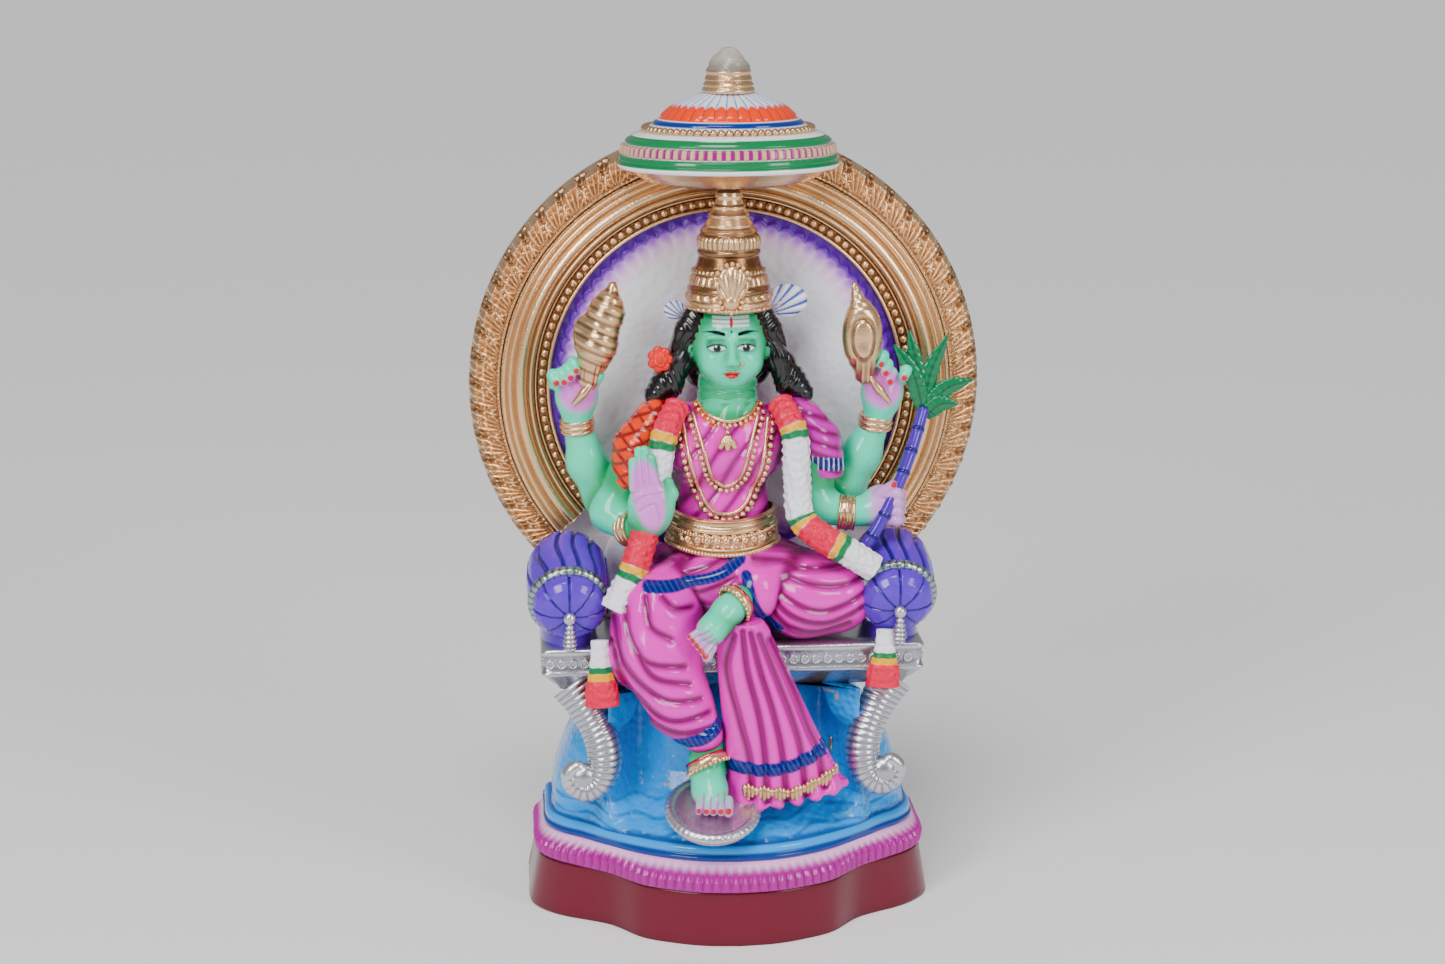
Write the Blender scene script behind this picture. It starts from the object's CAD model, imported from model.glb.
"""The painted look of the seated deity figurine: enamel and metal paint on moulded papier-mache.
Lengths below are millimetres in the part's own frame; MM turns them into metres as meshes are made."""

import math

import bpy
import numpy as np
import openvdb
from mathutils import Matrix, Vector


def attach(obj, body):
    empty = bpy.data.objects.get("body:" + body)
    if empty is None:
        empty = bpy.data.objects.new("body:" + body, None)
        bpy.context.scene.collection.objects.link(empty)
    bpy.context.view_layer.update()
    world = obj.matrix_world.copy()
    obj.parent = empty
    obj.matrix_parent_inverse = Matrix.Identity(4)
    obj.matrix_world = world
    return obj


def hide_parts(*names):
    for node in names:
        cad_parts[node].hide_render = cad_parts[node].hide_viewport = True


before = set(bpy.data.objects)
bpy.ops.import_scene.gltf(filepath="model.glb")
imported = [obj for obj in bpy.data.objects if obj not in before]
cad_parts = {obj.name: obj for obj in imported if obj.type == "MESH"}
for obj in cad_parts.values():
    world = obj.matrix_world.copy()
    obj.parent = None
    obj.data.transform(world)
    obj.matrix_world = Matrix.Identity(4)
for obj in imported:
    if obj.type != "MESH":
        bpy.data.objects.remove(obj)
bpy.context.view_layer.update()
MM = 0.001
TAU = 2 * math.pi
FINE = 1.0
rng = np.random.default_rng(11)


# ---------------------------------------------------------------- colours

def srgb(r, g, b):
    """Screen colour 0-255 to the linear values that a shader takes."""
    c = np.array([r, g, b], float) / 255
    return np.where(c <= 0.04045, c / 12.92, ((c + 0.055) / 1.055) ** 2.4)


MAROON = np.array((0.15, 0.0, 0.016))
MAGENTA = np.array((0.42, 0.0, 0.28))
PINK = np.array((0.92, 0.0, 0.58))
PINK_DEEP = np.array((0.2, 0.0, 0.1))
PETAL_WHITE = np.array((0.95, 0.5, 0.86))
BLUE = np.array((0.0, 0.34, 0.92))
BLUE_DEEP = np.array((0.0, 0.045, 0.28))
NAVY = np.array((0.001, 0.004, 0.16))
SILVER = srgb(205, 206, 212)
SILVER_DARK = srgb(120, 122, 138)
GOLD = np.array((0.82, 0.53, 0.29))
GOLD_DARK = np.array((0.20, 0.085, 0.03))
PURPLE = np.array((0.11, 0.018, 0.6))
PURPLE_DEEP = np.array((0.11, 0.001, 0.4))
WHITE = srgb(243, 243, 250)
MINT = np.array((0.03, 0.82, 0.5))
EMERALD = np.array((0.0, 0.36, 0.12))
LILAC = np.array((0.78, 0.2, 0.76))
MAUVE = np.array((0.42, 0.1, 0.36))
RED = np.array((0.6, 0.0, 0.012))
BLACK = srgb(12, 12, 16)
ORANGE = np.array((0.92, 0.045, 0.0))
GREEN = np.array((0.0, 0.2, 0.06))
LEAF_GREEN = np.array((0.0, 0.17, 0.06))
YELLOW = np.array((0.92, 0.44, 0.0))
CORAL = np.array((1.0, 0.02, 0.1))
GREY_GREEN = srgb(160, 176, 176)


def mix(a, b, t):
    """Blend of two colours, or arrays of colours, by t in 0..1 per vertex."""
    t = np.clip(np.asarray(t, float), 0, 1)[..., None]
    return np.asarray(a) * (1 - t) + np.asarray(b) * t


def step(x, low, high):
    """Smooth 0 to 1 ramp between low and high."""
    t = np.clip((x - low) / (high - low), 0, 1)
    return t * t * (3 - 2 * t)


# ---------------------------------------------------------------- materials

BLOTCH_SCALE = 60.0
GRAIN_DEPTH = 0.0004
PEBBLE_DEPTH = 0.0012


def material(name, metal=0.0, rough=0.16, coat=0.45, speck=0.06, bump=0.12, bump_scale=900.0,
             pebble=0.0, pebble_scale=420.0):
    """Brushed paint: the colour comes from the piece's own paint, and noise adds brush and grain."""
    mat = bpy.data.materials.new(name)
    mat.use_nodes = True
    tree = mat.node_tree
    nodes, links = tree.nodes, tree.links
    bsdf = nodes["Principled BSDF"]
    paint = nodes.new("ShaderNodeAttribute")
    paint.attribute_name = "paint"
    coords = nodes.new("ShaderNodeTexCoord")
    blotch = nodes.new("ShaderNodeTexNoise")
    blotch.inputs["Scale"].default_value = BLOTCH_SCALE
    blotch.inputs["Detail"].default_value = 5.0
    links.new(coords.outputs["Object"], blotch.inputs["Vector"])
    shade = nodes.new("ShaderNodeMapRange")
    shade.inputs["To Min"].default_value = 1.0 - speck
    shade.inputs["To Max"].default_value = 1.0 + speck
    links.new(blotch.outputs["Fac"], shade.inputs["Value"])
    tint = nodes.new("ShaderNodeMix")
    tint.data_type = "RGBA"
    tint.blend_type = "MULTIPLY"
    tint.inputs[0].default_value = 1.0
    links.new(paint.outputs["Color"], tint.inputs[6])
    links.new(shade.outputs["Result"], tint.inputs[7])
    links.new(tint.outputs[2], bsdf.inputs["Base Color"])
    grain = nodes.new("ShaderNodeTexNoise")
    grain.inputs["Scale"].default_value = bump_scale
    grain.inputs["Detail"].default_value = 3.0
    links.new(coords.outputs["Object"], grain.inputs["Vector"])
    relief = nodes.new("ShaderNodeBump")
    relief.inputs["Strength"].default_value = bump
    relief.inputs["Distance"].default_value = GRAIN_DEPTH
    links.new(grain.outputs["Fac"], relief.inputs["Height"])
    last = relief
    if pebble:
        cells = nodes.new("ShaderNodeTexVoronoi")
        cells.feature = "SMOOTH_F1"
        cells.inputs["Scale"].default_value = pebble_scale
        links.new(coords.outputs["Object"], cells.inputs["Vector"])
        dents = nodes.new("ShaderNodeBump")
        dents.inputs["Strength"].default_value = pebble
        dents.inputs["Distance"].default_value = PEBBLE_DEPTH
        links.new(cells.outputs["Distance"], dents.inputs["Height"])
        links.new(relief.outputs["Normal"], dents.inputs["Normal"])
        last = dents
    links.new(last.outputs["Normal"], bsdf.inputs["Normal"])
    wear = nodes.new("ShaderNodeMapRange")
    wear.inputs["To Min"].default_value = max(rough - 0.06, 0.04)
    wear.inputs["To Max"].default_value = rough + 0.08
    links.new(blotch.outputs["Fac"], wear.inputs["Value"])
    links.new(wear.outputs["Result"], bsdf.inputs["Roughness"])
    bsdf.inputs["Metallic"].default_value = metal
    bsdf.inputs["Specular IOR Level"].default_value = 0.22
    bsdf.inputs["Coat Weight"].default_value = coat
    bsdf.inputs["Coat Roughness"].default_value = 0.05
    return mat


ENAMEL = material("enamel")
SATIN = material("satin_enamel", rough=0.3, coat=0.35, bump=0.25, bump_scale=300)
PEBBLED = material("pebbled_enamel", pebble=1.0, pebble_scale=300)
WHITE_PEBBLED = material("pebbled_white", rough=0.25, coat=0.4, pebble=0.5, pebble_scale=300)
GARLAND = material("garland_paint", rough=0.4, coat=0.15, pebble=1.0, pebble_scale=420)
GOLD_PAINT = material("gold_paint", metal=0.9, rough=0.24, coat=0.2, speck=0.1, bump=0.3)
SILVER_PAINT = material("silver_paint", metal=0.9, rough=0.26, coat=0.2, speck=0.08, bump=0.3)
HAIR_PAINT = material("hair_enamel", rough=0.18, coat=0.8, bump=0.1)
BOARD = material("board", rough=0.8, coat=0.0, bump=0.6, bump_scale=200)


# ---------------------------------------------------------------- meshes

def raw_mesh(name, verts, faces):
    """A mesh from arrays: verts in millimetres, faces as rows of 3 or 4 indices."""
    mesh = bpy.data.meshes.new(name)
    count, sides = faces.shape
    mesh.vertices.add(len(verts))
    mesh.vertices.foreach_set("co", (verts * MM).astype(np.float32).ravel())
    mesh.loops.add(count * sides)
    mesh.loops.foreach_set("vertex_index", faces.astype(np.int32).ravel())
    mesh.polygons.add(count)
    mesh.polygons.foreach_set("loop_start", (np.arange(count) * sides).astype(np.int32))
    mesh.polygons.foreach_set("use_smooth", np.ones(count, bool))
    mesh.update(calc_edges=True)
    return mesh


def piece(name, geometry, finish, slot, nodes=()):
    """A finished, painted piece that rides on the part and stands for its CAD nodes."""
    verts, faces, paint = geometry
    mesh = raw_mesh(name, verts, faces)
    rgba = np.ones((len(verts), 4), np.float32)
    rgba[:, :3] = np.broadcast_to(paint, (len(verts), 3))
    layer = mesh.attributes.new("paint", "FLOAT_COLOR", "POINT")
    layer.data.foreach_set("color", rgba.ravel())
    mesh.validate()
    mesh.materials.append(finish)
    obj = bpy.data.objects.new(name, mesh)
    bpy.context.collection.objects.link(obj)
    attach(obj, "root")
    if nodes:
        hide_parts(*nodes)
    return obj


def grid_faces(rows, cols, wrap_cols=False):
    """Quads of a rows x cols sheet of vertices."""
    r, c = np.meshgrid(np.arange(rows - 1), np.arange(cols if wrap_cols else cols - 1), indexing="ij")
    c2 = (c + 1) % cols
    return np.stack([r * cols + c, r * cols + c2, (r + 1) * cols + c2, (r + 1) * cols + c],
                    -1).reshape(-1, 4)


def join(parts):
    """Several (verts, faces, paint) sets as one; quads are split where triangles are mixed in."""
    if len({f.shape[1] for _, f, _ in parts}) > 1:
        parts = [(v, split(f), p) for v, f, p in parts]
    verts, faces, paints, base = [], [], [], 0
    for v, f, p in parts:
        verts.append(v)
        faces.append(f + base)
        paints.append(np.broadcast_to(p, (len(v), 3)))
        base += len(v)
    return np.concatenate(verts), np.concatenate(faces), np.concatenate(paints)


def split(faces):
    """Quads as triangles."""
    if faces.shape[1] == 3:
        return faces
    return np.vstack([faces[:, [0, 1, 2]], faces[:, [0, 2, 3]]])


def ball(centre, radius, paint, scale=(1, 1, 1), rows=10, cols=14):
    """A small quad ball."""
    lat, lon = np.meshgrid(np.linspace(0.02, math.pi - 0.02, rows), np.arange(cols) / cols * TAU,
                           indexing="ij")
    unit = np.stack([np.sin(lat) * np.cos(lon), np.sin(lat) * np.sin(lon), np.cos(lat)], -1)
    verts = unit.reshape(-1, 3) * radius * np.array(scale) + np.array(centre)
    return verts, grid_faces(rows, cols, wrap_cols=True)[:, ::-1], paint


def smooth_line(points, count):
    """Evenly spaced points along a Catmull-Rom line through the given points."""
    p = np.array(points, float)
    p = np.vstack([2 * p[0] - p[1], p, 2 * p[-1] - p[-2]])
    out = []
    for i in range(1, len(p) - 2):
        t = np.linspace(0, 1, 24, endpoint=False)[:, None]
        a, b, c, d = p[i - 1], p[i], p[i + 1], p[i + 2]
        out.append(0.5 * (2 * b + (c - a) * t + (2 * a - 5 * b + 4 * c - d) * t ** 2
                          + (3 * b - a - 3 * c + d) * t ** 3))
    line = np.vstack(out + [p[-2:-1]])
    along = np.concatenate([[0], np.cumsum(np.linalg.norm(np.diff(line, axis=0), axis=1))])
    want = np.linspace(0, along[-1], count)
    return np.stack([np.interp(want, along, line[:, k]) for k in range(line.shape[1])], -1)


def tube(points, radii, paint, sides=20, count=80, wave=None, flat=1.0):
    """A round strand along a smooth line; wave and paint may be functions of t and turn."""
    line = smooth_line(points, count)
    t = np.linspace(0, 1, count)
    radius = np.interp(t, np.linspace(0, 1, len(radii)), radii)
    tangent = np.gradient(line, axis=0)
    tangent /= np.linalg.norm(tangent, axis=1)[:, None]
    side = np.cross(tangent, np.array([0.0, 1.0, 0.0]))
    side /= np.linalg.norm(side, axis=1)[:, None] + 1e-9
    out = np.cross(side, tangent)
    tt, ww = np.meshgrid(t, np.arange(sides) / sides * TAU, indexing="ij")
    cap = np.ones(count)
    cap[0] = cap[-1] = 0.02
    r = (radius * cap)[:, None] * (wave(tt, ww) if wave else 1.0)
    ring = (np.cos(ww) * r)[..., None] * side[:, None] + (np.sin(ww) * r * flat)[..., None] * out[:, None]
    verts = (line[:, None] + ring).reshape(-1, 3)
    colour = paint(tt, ww).reshape(-1, 3) if callable(paint) else paint
    return verts, grid_faces(count, sides, wrap_cols=True)[:, ::-1], colour


def lathe(profile, centre, paint, angles=240, squash=1.0, wave=None, flat_back=None):
    """(radius, z) turned about an upright axis; wave(angle, radius, z) adds to the radius."""
    prof = np.array(profile, float)
    rr, aa = np.meshgrid(prof[:, 0], np.arange(angles) / angles * TAU, indexing="ij")
    zz = np.repeat(prof[:, 1][:, None], angles, 1)
    grown = rr + wave(aa, rr, zz) if wave else rr
    x = centre[0] + grown * np.cos(aa)
    y = centre[1] + grown * np.sin(aa) * squash
    if flat_back is not None:
        y = np.minimum(y, flat_back)
    verts = np.stack([x, y, zz], -1).reshape(-1, 3)
    colour = paint(aa, rr, zz).reshape(-1, 3) if callable(paint) else paint
    return verts, grid_faces(len(prof), angles, wrap_cols=True), colour


def dense(profile, spacing=0.6):
    """A profile's corners with points added between them."""
    out = [tuple(profile[0])]
    for a, b in zip(profile[:-1], profile[1:]):
        n = max(1, int(math.hypot(b[0] - a[0], b[1] - a[1]) / (spacing * FINE)))
        out += [(a[0] + (b[0] - a[0]) * k / n, a[1] + (b[1] - a[1]) * k / n) for k in range(1, n + 1)]
    return out


def along_y(geometry, centre, tilt=0.0):
    """Lays a lathed piece down: its upright axis becomes the front-to-back axis, tilted up by degrees."""
    verts, faces, paint = geometry
    a = math.radians(tilt)
    y = verts[:, 2] * math.cos(a) - verts[:, 1] * math.sin(a)
    z = verts[:, 2] * math.sin(a) + verts[:, 1] * math.cos(a)
    return np.stack([verts[:, 0], y, z], -1) + np.array(centre), faces[:, ::-1], paint


# ---------------------------------------------------------------- base and plinth

OUTLINE_COUNT = int(900 / FINE)


def lobed(half_width, back, front, corner_y):
    """The base outline as evenly spaced points, from the front middle round to the front middle."""
    w = half_width
    half = [
        (0, front), (16, front + 1.7), (30, front + 6.4), (44, front + 14.2), (58, corner_y - 36.5),
        (w - 17, corner_y - 25), (w - 8, corner_y - 17.5), (w - 2, corner_y - 8.5), (w, corner_y + 2),
        (w, 0.5 * (corner_y + back)), (w, back - 4), (w - 1.2, back - 1.2), (w - 4, back),
        (0.5 * w, back), (0, back)]
    other = [(-x, y) for x, y in reversed(half[:-1])]
    return smooth_line(half + other, OUTLINE_COUNT + 1)[:-1]


def outline_stack(levels, paint, relief=None):
    """A skin through lobed outlines, each (z, half width, back, front, corner y), closed at the top."""
    rows, heights = [], []
    for a, b in zip(levels[:-1], levels[1:]):
        n = max(2, int(math.dist(a, b) / (0.7 * FINE)))
        for k in range(n):
            level = [p + (q - p) * k / n for p, q in zip(a, b)]
            rows.append(lobed(*level[1:]))
            heights.append(level[0])
    rows.append(lobed(*levels[-1][1:]))
    heights.append(levels[-1][0])
    for shrink in (0.8, 0.4, 0.02):
        rows.append(rows[-1] * shrink)
        heights.append(heights[-1])
    xy = np.array(rows)
    zz = np.repeat(np.array(heights)[:, None], OUTLINE_COUNT, 1)
    around = np.repeat(np.arange(OUTLINE_COUNT)[None] / OUTLINE_COUNT, len(rows), 0)
    normal = np.roll(xy, -1, 1) - np.roll(xy, 1, 1)
    normal = np.stack([normal[..., 1], -normal[..., 0]], -1)
    normal /= np.linalg.norm(normal, axis=-1)[..., None] + 1e-9
    if relief:
        xy = xy + normal * relief(around, zz)[..., None]
    verts = np.concatenate([xy, zz[..., None]], -1).reshape(-1, 3)
    return verts, grid_faces(len(rows), OUTLINE_COUNT, wrap_cols=True), paint(around, zz, xy).reshape(-1,
            3)


base_skin = outline_stack(
    [(0, 94.6, 55, -55, 12), (0.8, 95, 55, -55, 12), (25.4, 90.8, 52, -56.5, 10), (26, 90, 52, -56, 10)],
    lambda a, z, xy: mix(MAROON, MAROON * 0.55, step(z, 6, 0) * 0.4 + step(z, 22, 26) * 0.5))
piece("base_shell_skin", base_skin, SATIN, "maroon_enamel", ["base_shell"])

board_rim = lobed(94.6, 55, -55, 12) * 0.93
board_verts = np.vstack([np.column_stack([board_rim * k, np.full(OUTLINE_COUNT, 0.01)]) for k in (1, 0.5,
        0.01)])
piece("bottom_board", (board_verts, grid_faces(3, OUTLINE_COUNT, wrap_cols=True)[:, ::-1],
                       srgb(150, 128, 100)),
      BOARD, "board", ["bottom_panel"])

PETALS = 116


def petal_relief(a, z):
    """Upright petals round the rim's edge that die out up the slope."""
    wave = np.abs(np.sin(a * PETALS * math.pi))
    return (wave - 0.6) * 1.7 * step(z, 26, 28) * step(z, 37, 33)


def petal_paint(a, z, xy):
    wave = np.abs(np.sin(a * PETALS * math.pi))
    edge = 33.4 + 1.2 * wave
    colour = mix(MAGENTA, PETAL_WHITE, step(z, edge - 0.8, edge + 2.6))
    colour = mix(colour, MAGENTA * 0.45, step(wave, 0.4, 0.0) * step(z, 35.5, 32.5) * 0.8)
    return mix(colour, srgb(240, 150, 226), step(z, 36.2, 38) * 0.7)


rim_skin = outline_stack([
    (26, 90.4, 52, -56.3, 10), (26.6, 91.4, 52.5, -57.3, 10), (31, 92, 52.5, -57.5, 10),
    (33, 91, 52.2, -55.6, 10.6), (38, 86.2, 50, -47.4, 14)], petal_paint, petal_relief)
piece("petal_rim_skin", rim_skin, ENAMEL, "magenta_enamel", ["petal_rim"])

step_skin = outline_stack([
    (37.6, 86.4, 50.2, -47.4, 14), (38.4, 87.6, 50.6, -48.4, 14), (39.8, 87.8, 50.8, -48.6, 14),
    (40.8, 86.6, 50.2, -47.2, 14), (41.4, 86.8, 50.2, -47.4, 14), (43.6, 86.6, 50, -47, 14.4),
    (44.8, 85, 49.4, -45.6, 15), (45, 83.4, 48.6, -44, 15)],
    lambda a, z, xy: mix(mix(BLUE_DEEP, BLUE, step(z, 40.6, 42)), BLUE_DEEP, step(z, 44.2, 45) * 0.8))
piece("plinth_step_skin", step_skin, ENAMEL, "blue_enamel", ["plinth_step"])


def mound_paint(a, z, xy):
    """Blue with deep blue in the ripples and the corners, and a few chips in the paint under the seat."""
    colour = mix(BLUE, BLUE_DEEP, step(z, 47, 45) * 0.9 + step(z, 100, 110) * 0.5)
    for cx, cz, w, h in ((44, 107, 4, 0.7), (48, 104.5, 0.8, 2.6), (-30, 62, 3, 0.6)):
        chip = np.hypot((xy[..., 0] - cx) / w, (z - cz) / h) + 0.3 * np.sin(xy[..., 0] * 5 + z * 3)
        colour = mix(colour, srgb(170, 158, 146), step(chip, 1.1, 0.8) * (xy[..., 1] < 0))
    ripple = np.sin(z * 1.1 + 1.6 * np.sin(xy[..., 0] * 0.11) + 0.9 * np.sin(xy[..., 0] * 0.31))
    return mix(colour, BLUE_DEEP, step(ripple, 0.55, 1.0) * step(z, 66, 52) * 0.45)


def mound_relief(a, z):
    return 0.3 * np.sin(z * 1.1 + 1.6 * np.sin(a * 60) + 0.9 * np.sin(a * 170)) * step(z, 60, 50)


mound_skin = outline_stack([
    (45, 83.6, 48.6, -44, 15), (48, 83, 48, -40, 16), (53, 82.4, 48, -30, 17), (60, 81.4, 47, -16, 20),
    (68, 79, 46, -11.4, 22), (76, 76, 45.6, -10, 21), (84, 72, 45, -9.6, 20), (95, 63, 45, -9.4, 18),
    (110, 58, 44, -9.2, 16)], mound_paint, mound_relief)
piece("plinth_mound_skin", mound_skin, PEBBLED, "blue_enamel", ["plinth_mound"])

# ---------------------------------------------------------------- foot pad, seat and legs

PAD_CENTRE = np.array([-11.5, -41, 62.5])
PAD_TILT = math.radians(24)


def pad_point(x, y, z):
    """A point of the tilted foot pad, from the pad's own flat coordinates."""
    c, s = math.cos(PAD_TILT), math.sin(PAD_TILT)
    return np.stack([x, y * c - z * s, y * s + z * c], -1) + PAD_CENTRE


pad_profile = dense([(0.1, -7), (17, -7), (19.5, -6.2), (20.4, -5), (19.8, -4.4), (21.6, -3.4), (22, -2),
                     (21.2, -0.6), (19.8, 0.3), (18.4, 0.2), (17.6, -0.5), (0.1, -0.5)], 0.45)
pad_geo = lathe(pad_profile, (0, 0), lambda a, r, z: mix(
    mix(SILVER, SILVER_DARK, step(np.sin(a * 46) * step(r, 17.5, 19), 0.3, 1) * 0.2),
    srgb(205, 168, 190), step(r, 18, 16.8) * step(z, -1, -0.6) * 0.75),
    wave=lambda a, r, z: 0.14 * np.sin(a * 46) * step(r, 18.5, 21) * step(z, -6, -4))
piece("foot_pad_skin", (pad_point(*pad_geo[0].T), pad_geo[1], pad_geo[2]), SILVER_PAINT, "silver_paint",
      ["foot_pad"])


def slab_ring(width, front, back, radius=2.5, count=240):
    """A rectangle with rounded corners, counterclockwise from the front left."""
    corners = [(-width, front), (width, front), (width, back), (-width, back)]
    centres = [(-width + radius, front + radius), (width - radius, front + radius),
               (width - radius, back - radius), (-width + radius, back - radius)]
    line = []
    for k, (cx, cy) in enumerate(centres):
        start = math.pi * (1 + 0.5 * k)
        for j in range(7):
            a = start + j / 6 * math.pi / 2
            line.append((cx + radius * math.cos(a), cy + radius * math.sin(a)))
    line.append(line[0])
    line = np.array(line)
    along = np.concatenate([[0], np.cumsum(np.linalg.norm(np.diff(line, axis=0), axis=1))])
    want = np.linspace(0, along[-1], count + 1)[:-1]
    return np.stack([np.interp(want, along, line[:, k]) for k in (0, 1)], -1)


seat_levels = [(110, 20, 0), (110, 80, -10), (112, 81.5, -11.2), (114, 83.6, -13), (116.4, 85.6, -15),
               (117.6, 87, -16.4), (118.4, 87.8, -17.2), (119.4, 88, -17.5), (119.8, 87.2, -16.8),
               (127.6, 87.2, -16.8), (128, 88, -17.5), (129.4, 88.2, -17.6), (130.4, 87.6, -17.2),
               (131, 86.4, -16), (131, 20, 0)]
seat_rows = np.array([slab_ring(w, f, 46 if w > 50 else 20) for _, w, f in seat_levels])
seat_z = np.repeat(np.array([s[0] for s in seat_levels])[:, None], 240, 1)
seat_verts = np.concatenate([seat_rows, seat_z[..., None]], -1).reshape(-1, 3)
seat_paint = mix(SILVER, SILVER_DARK,
                 np.where((seat_z > 119.5) & (seat_z < 127.9), 0.45, 0.0)).reshape(-1, 3)
seat_bits = [(seat_verts, grid_faces(len(seat_levels), 240, wrap_cols=True), seat_paint)]
BEAD_GAP = 5.3
for x in np.arange(-84, 84.1, BEAD_GAP):
    hoop = np.linspace(0, TAU, 25)
    ring_line = np.stack([x + 1.7 * np.cos(hoop), np.full(25, -16.9), 123.7 + 1.7 * np.sin(hoop)], -1)
    seat_bits.append(tube(ring_line, [0.55], SILVER, sides=8, count=28))
for x in (-1, 1):
    for y in np.arange(-13, 44, BEAD_GAP):
        seat_bits.append(ball((x * 87.2, y, 123.7), 1.5, SILVER, (0.6, 1, 1)))
piece("seat_slab_skin", join(seat_bits), SILVER_PAINT, "silver_paint", ["seat_slab"])

leg_line = [(74, -9, 112), (70, -11, 106), (65, -13.5, 97), (60.5, -16.5, 86), (59.5, -18, 76),
            (62, -19, 67.5), (68, -19.5, 64), (74, -19.5, 66.5), (76, -19.5, 72), (72.5, -19.8, 75.5),
            (69.5, -20, 72.5), (71, -20.4, 70)]
for side, tag in ((-1, "left"), (1, "right")):
    line = [(side * x, y, z) for x, y, z in leg_line]
    leg = tube(line, [10, 8.8, 8, 7.6, 7.8, 7.8, 7, 5.8, 4.8, 4, 3.2, 2.4],
               lambda t, w: mix(SILVER, SILVER_DARK,
                                step(np.sin(t * 190 + w), 0.2, -1) * step(t, 0.86, 0.7) * 0.75),
               sides=int(36 / FINE), count=int(330 / FINE),
               wave=lambda t, w: 1 + 0.045 * np.abs(np.sin((t * 190 + w) / 2)) * step(t, 0.9, 0.75))
    leg = join([leg, ball((side * 69.5, -19, 70), 7.2, mix(SILVER, SILVER_DARK, 0.3), (1, 0.75, 1), 24,
                          32)])
    piece(f"seat_leg_{tag}_skin", leg, SILVER_PAINT, "silver_paint", [f"seat_leg_{tag}"])

# ---------------------------------------------------------------- bolsters

BOLSTER_TILT = 20
LOBES = 8
roll_profile = dense([(0.1, -3.2), (4, -3.6), (9, -3), (13, -1), (15.6, 2), (16.5, 5), (16.3, 7)], 0.5)
cloth_profile = dense([(16.4, 9), (17.4, 12.5), (18.2, 18), (18.5, 26), (18, 36), (15.5, 43), (10, 46),
                       (0.1, 47)], 0.6)


def lobe_paint(a, r, z):
    groove = np.abs(np.sin(a * LOBES / 2)) * np.clip(r, 1, 20)
    return mix(NAVY, PURPLE, step(groove, 0.5, 3.6))


def cloth_paint(a, r, z):
    fold = np.sin(a * 13 + 1.2 * np.sin(z * 0.16) + 0.8 * np.sin(a * 4))
    return mix(PURPLE, NAVY * 0.9, step(fold, -0.35, -0.95) * 0.85)


for side, tag in ((-1, "left"), (1, "right")):
    at = (side * 75.0, -22.0, 149.5)
    face = along_y(lathe(roll_profile, (0, 0), lobe_paint, 192, wave=lambda a, r, z: -2.1 * np.exp(
        -(np.abs(np.sin(a * LOBES / 2)) * np.clip(r, 1, 20) / 1.6) ** 2) * step(r, 2, 14)), at,
                   BOLSTER_TILT)
    cloth = along_y(lathe(cloth_profile, (0, 0), cloth_paint, 240, wave=lambda a, r, z: (
        0.7 - 1.6 * np.exp(-((1 + np.sin(a * 13 + 1.2 * np.sin(z * 0.16) + 0.8 * np.sin(a * 4)))
                             / 0.22) ** 2)
        * step(r, 3, 12))), at, BOLSTER_TILT)
    rest = lathe(dense([(13, 130.8), (12.8, 140), (12, 150), (8, 154), (0.1, 155)], 1), (side * 75, 10),
                 PURPLE * 0.8, 96, squash=2)
    piece(f"bolster_{tag}_skin", join([face, cloth, rest]), ENAMEL, "purple_enamel", [f"bolster_{tag}"])
    band = along_y(lathe(dense([(15.6, 6.4), (17.4, 6.5), (18.6, 7.6), (18.9, 9.4), (18.2, 11.4),
                                (16.4, 12)], 0.4),
                         (0, 0), lambda a, r, z: mix(GREY_GREEN, srgb(96, 110, 130),
                                                     step(np.sin(a * 34), -0.2, -1)),
                         272, wave=lambda a, r, z: 0.12 * np.sin(a * 34) * step(r, 16, 18)), at,
                   BOLSTER_TILT)
    piece(f"bolster_band_{tag}_skin", band, SILVER_PAINT, "silver_paint", [f"bolster_band_{tag}"])
    kx, ky, kz = at[0], at[1] - 4.6, at[2] - 1.4
    tassel = tube([(kx, ky - 0.4, kz - 1), (kx, ky - 0.2, kz - 6), (kx, ky + 1.6, kz - 15)],
                  [1.2, 2.0, 2.6, 3.1, 2.4],
                  lambda t, w: mix(SILVER, SILVER_DARK, step(np.sin(t * 42), 0.1, -1) * 0.8), sides=20,
                  count=90,
                  wave=lambda t, w: 1 + 0.1 * np.sin(t * 42))
    piece(f"bolster_tassel_{tag}_skin",
          join([tassel, ball((kx, ky, kz), 2.9, SILVER, (1, 0.85, 1), 16, 22)]),
          SILVER_PAINT, "silver_paint", [f"bolster_tassel_{tag}"])

# ---------------------------------------------------------------- arch and back panel

ARCH_Z = 243.0
ARCH_HALF_SPAN = math.radians(131)
DISC_RADIUS = 81.2


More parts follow.
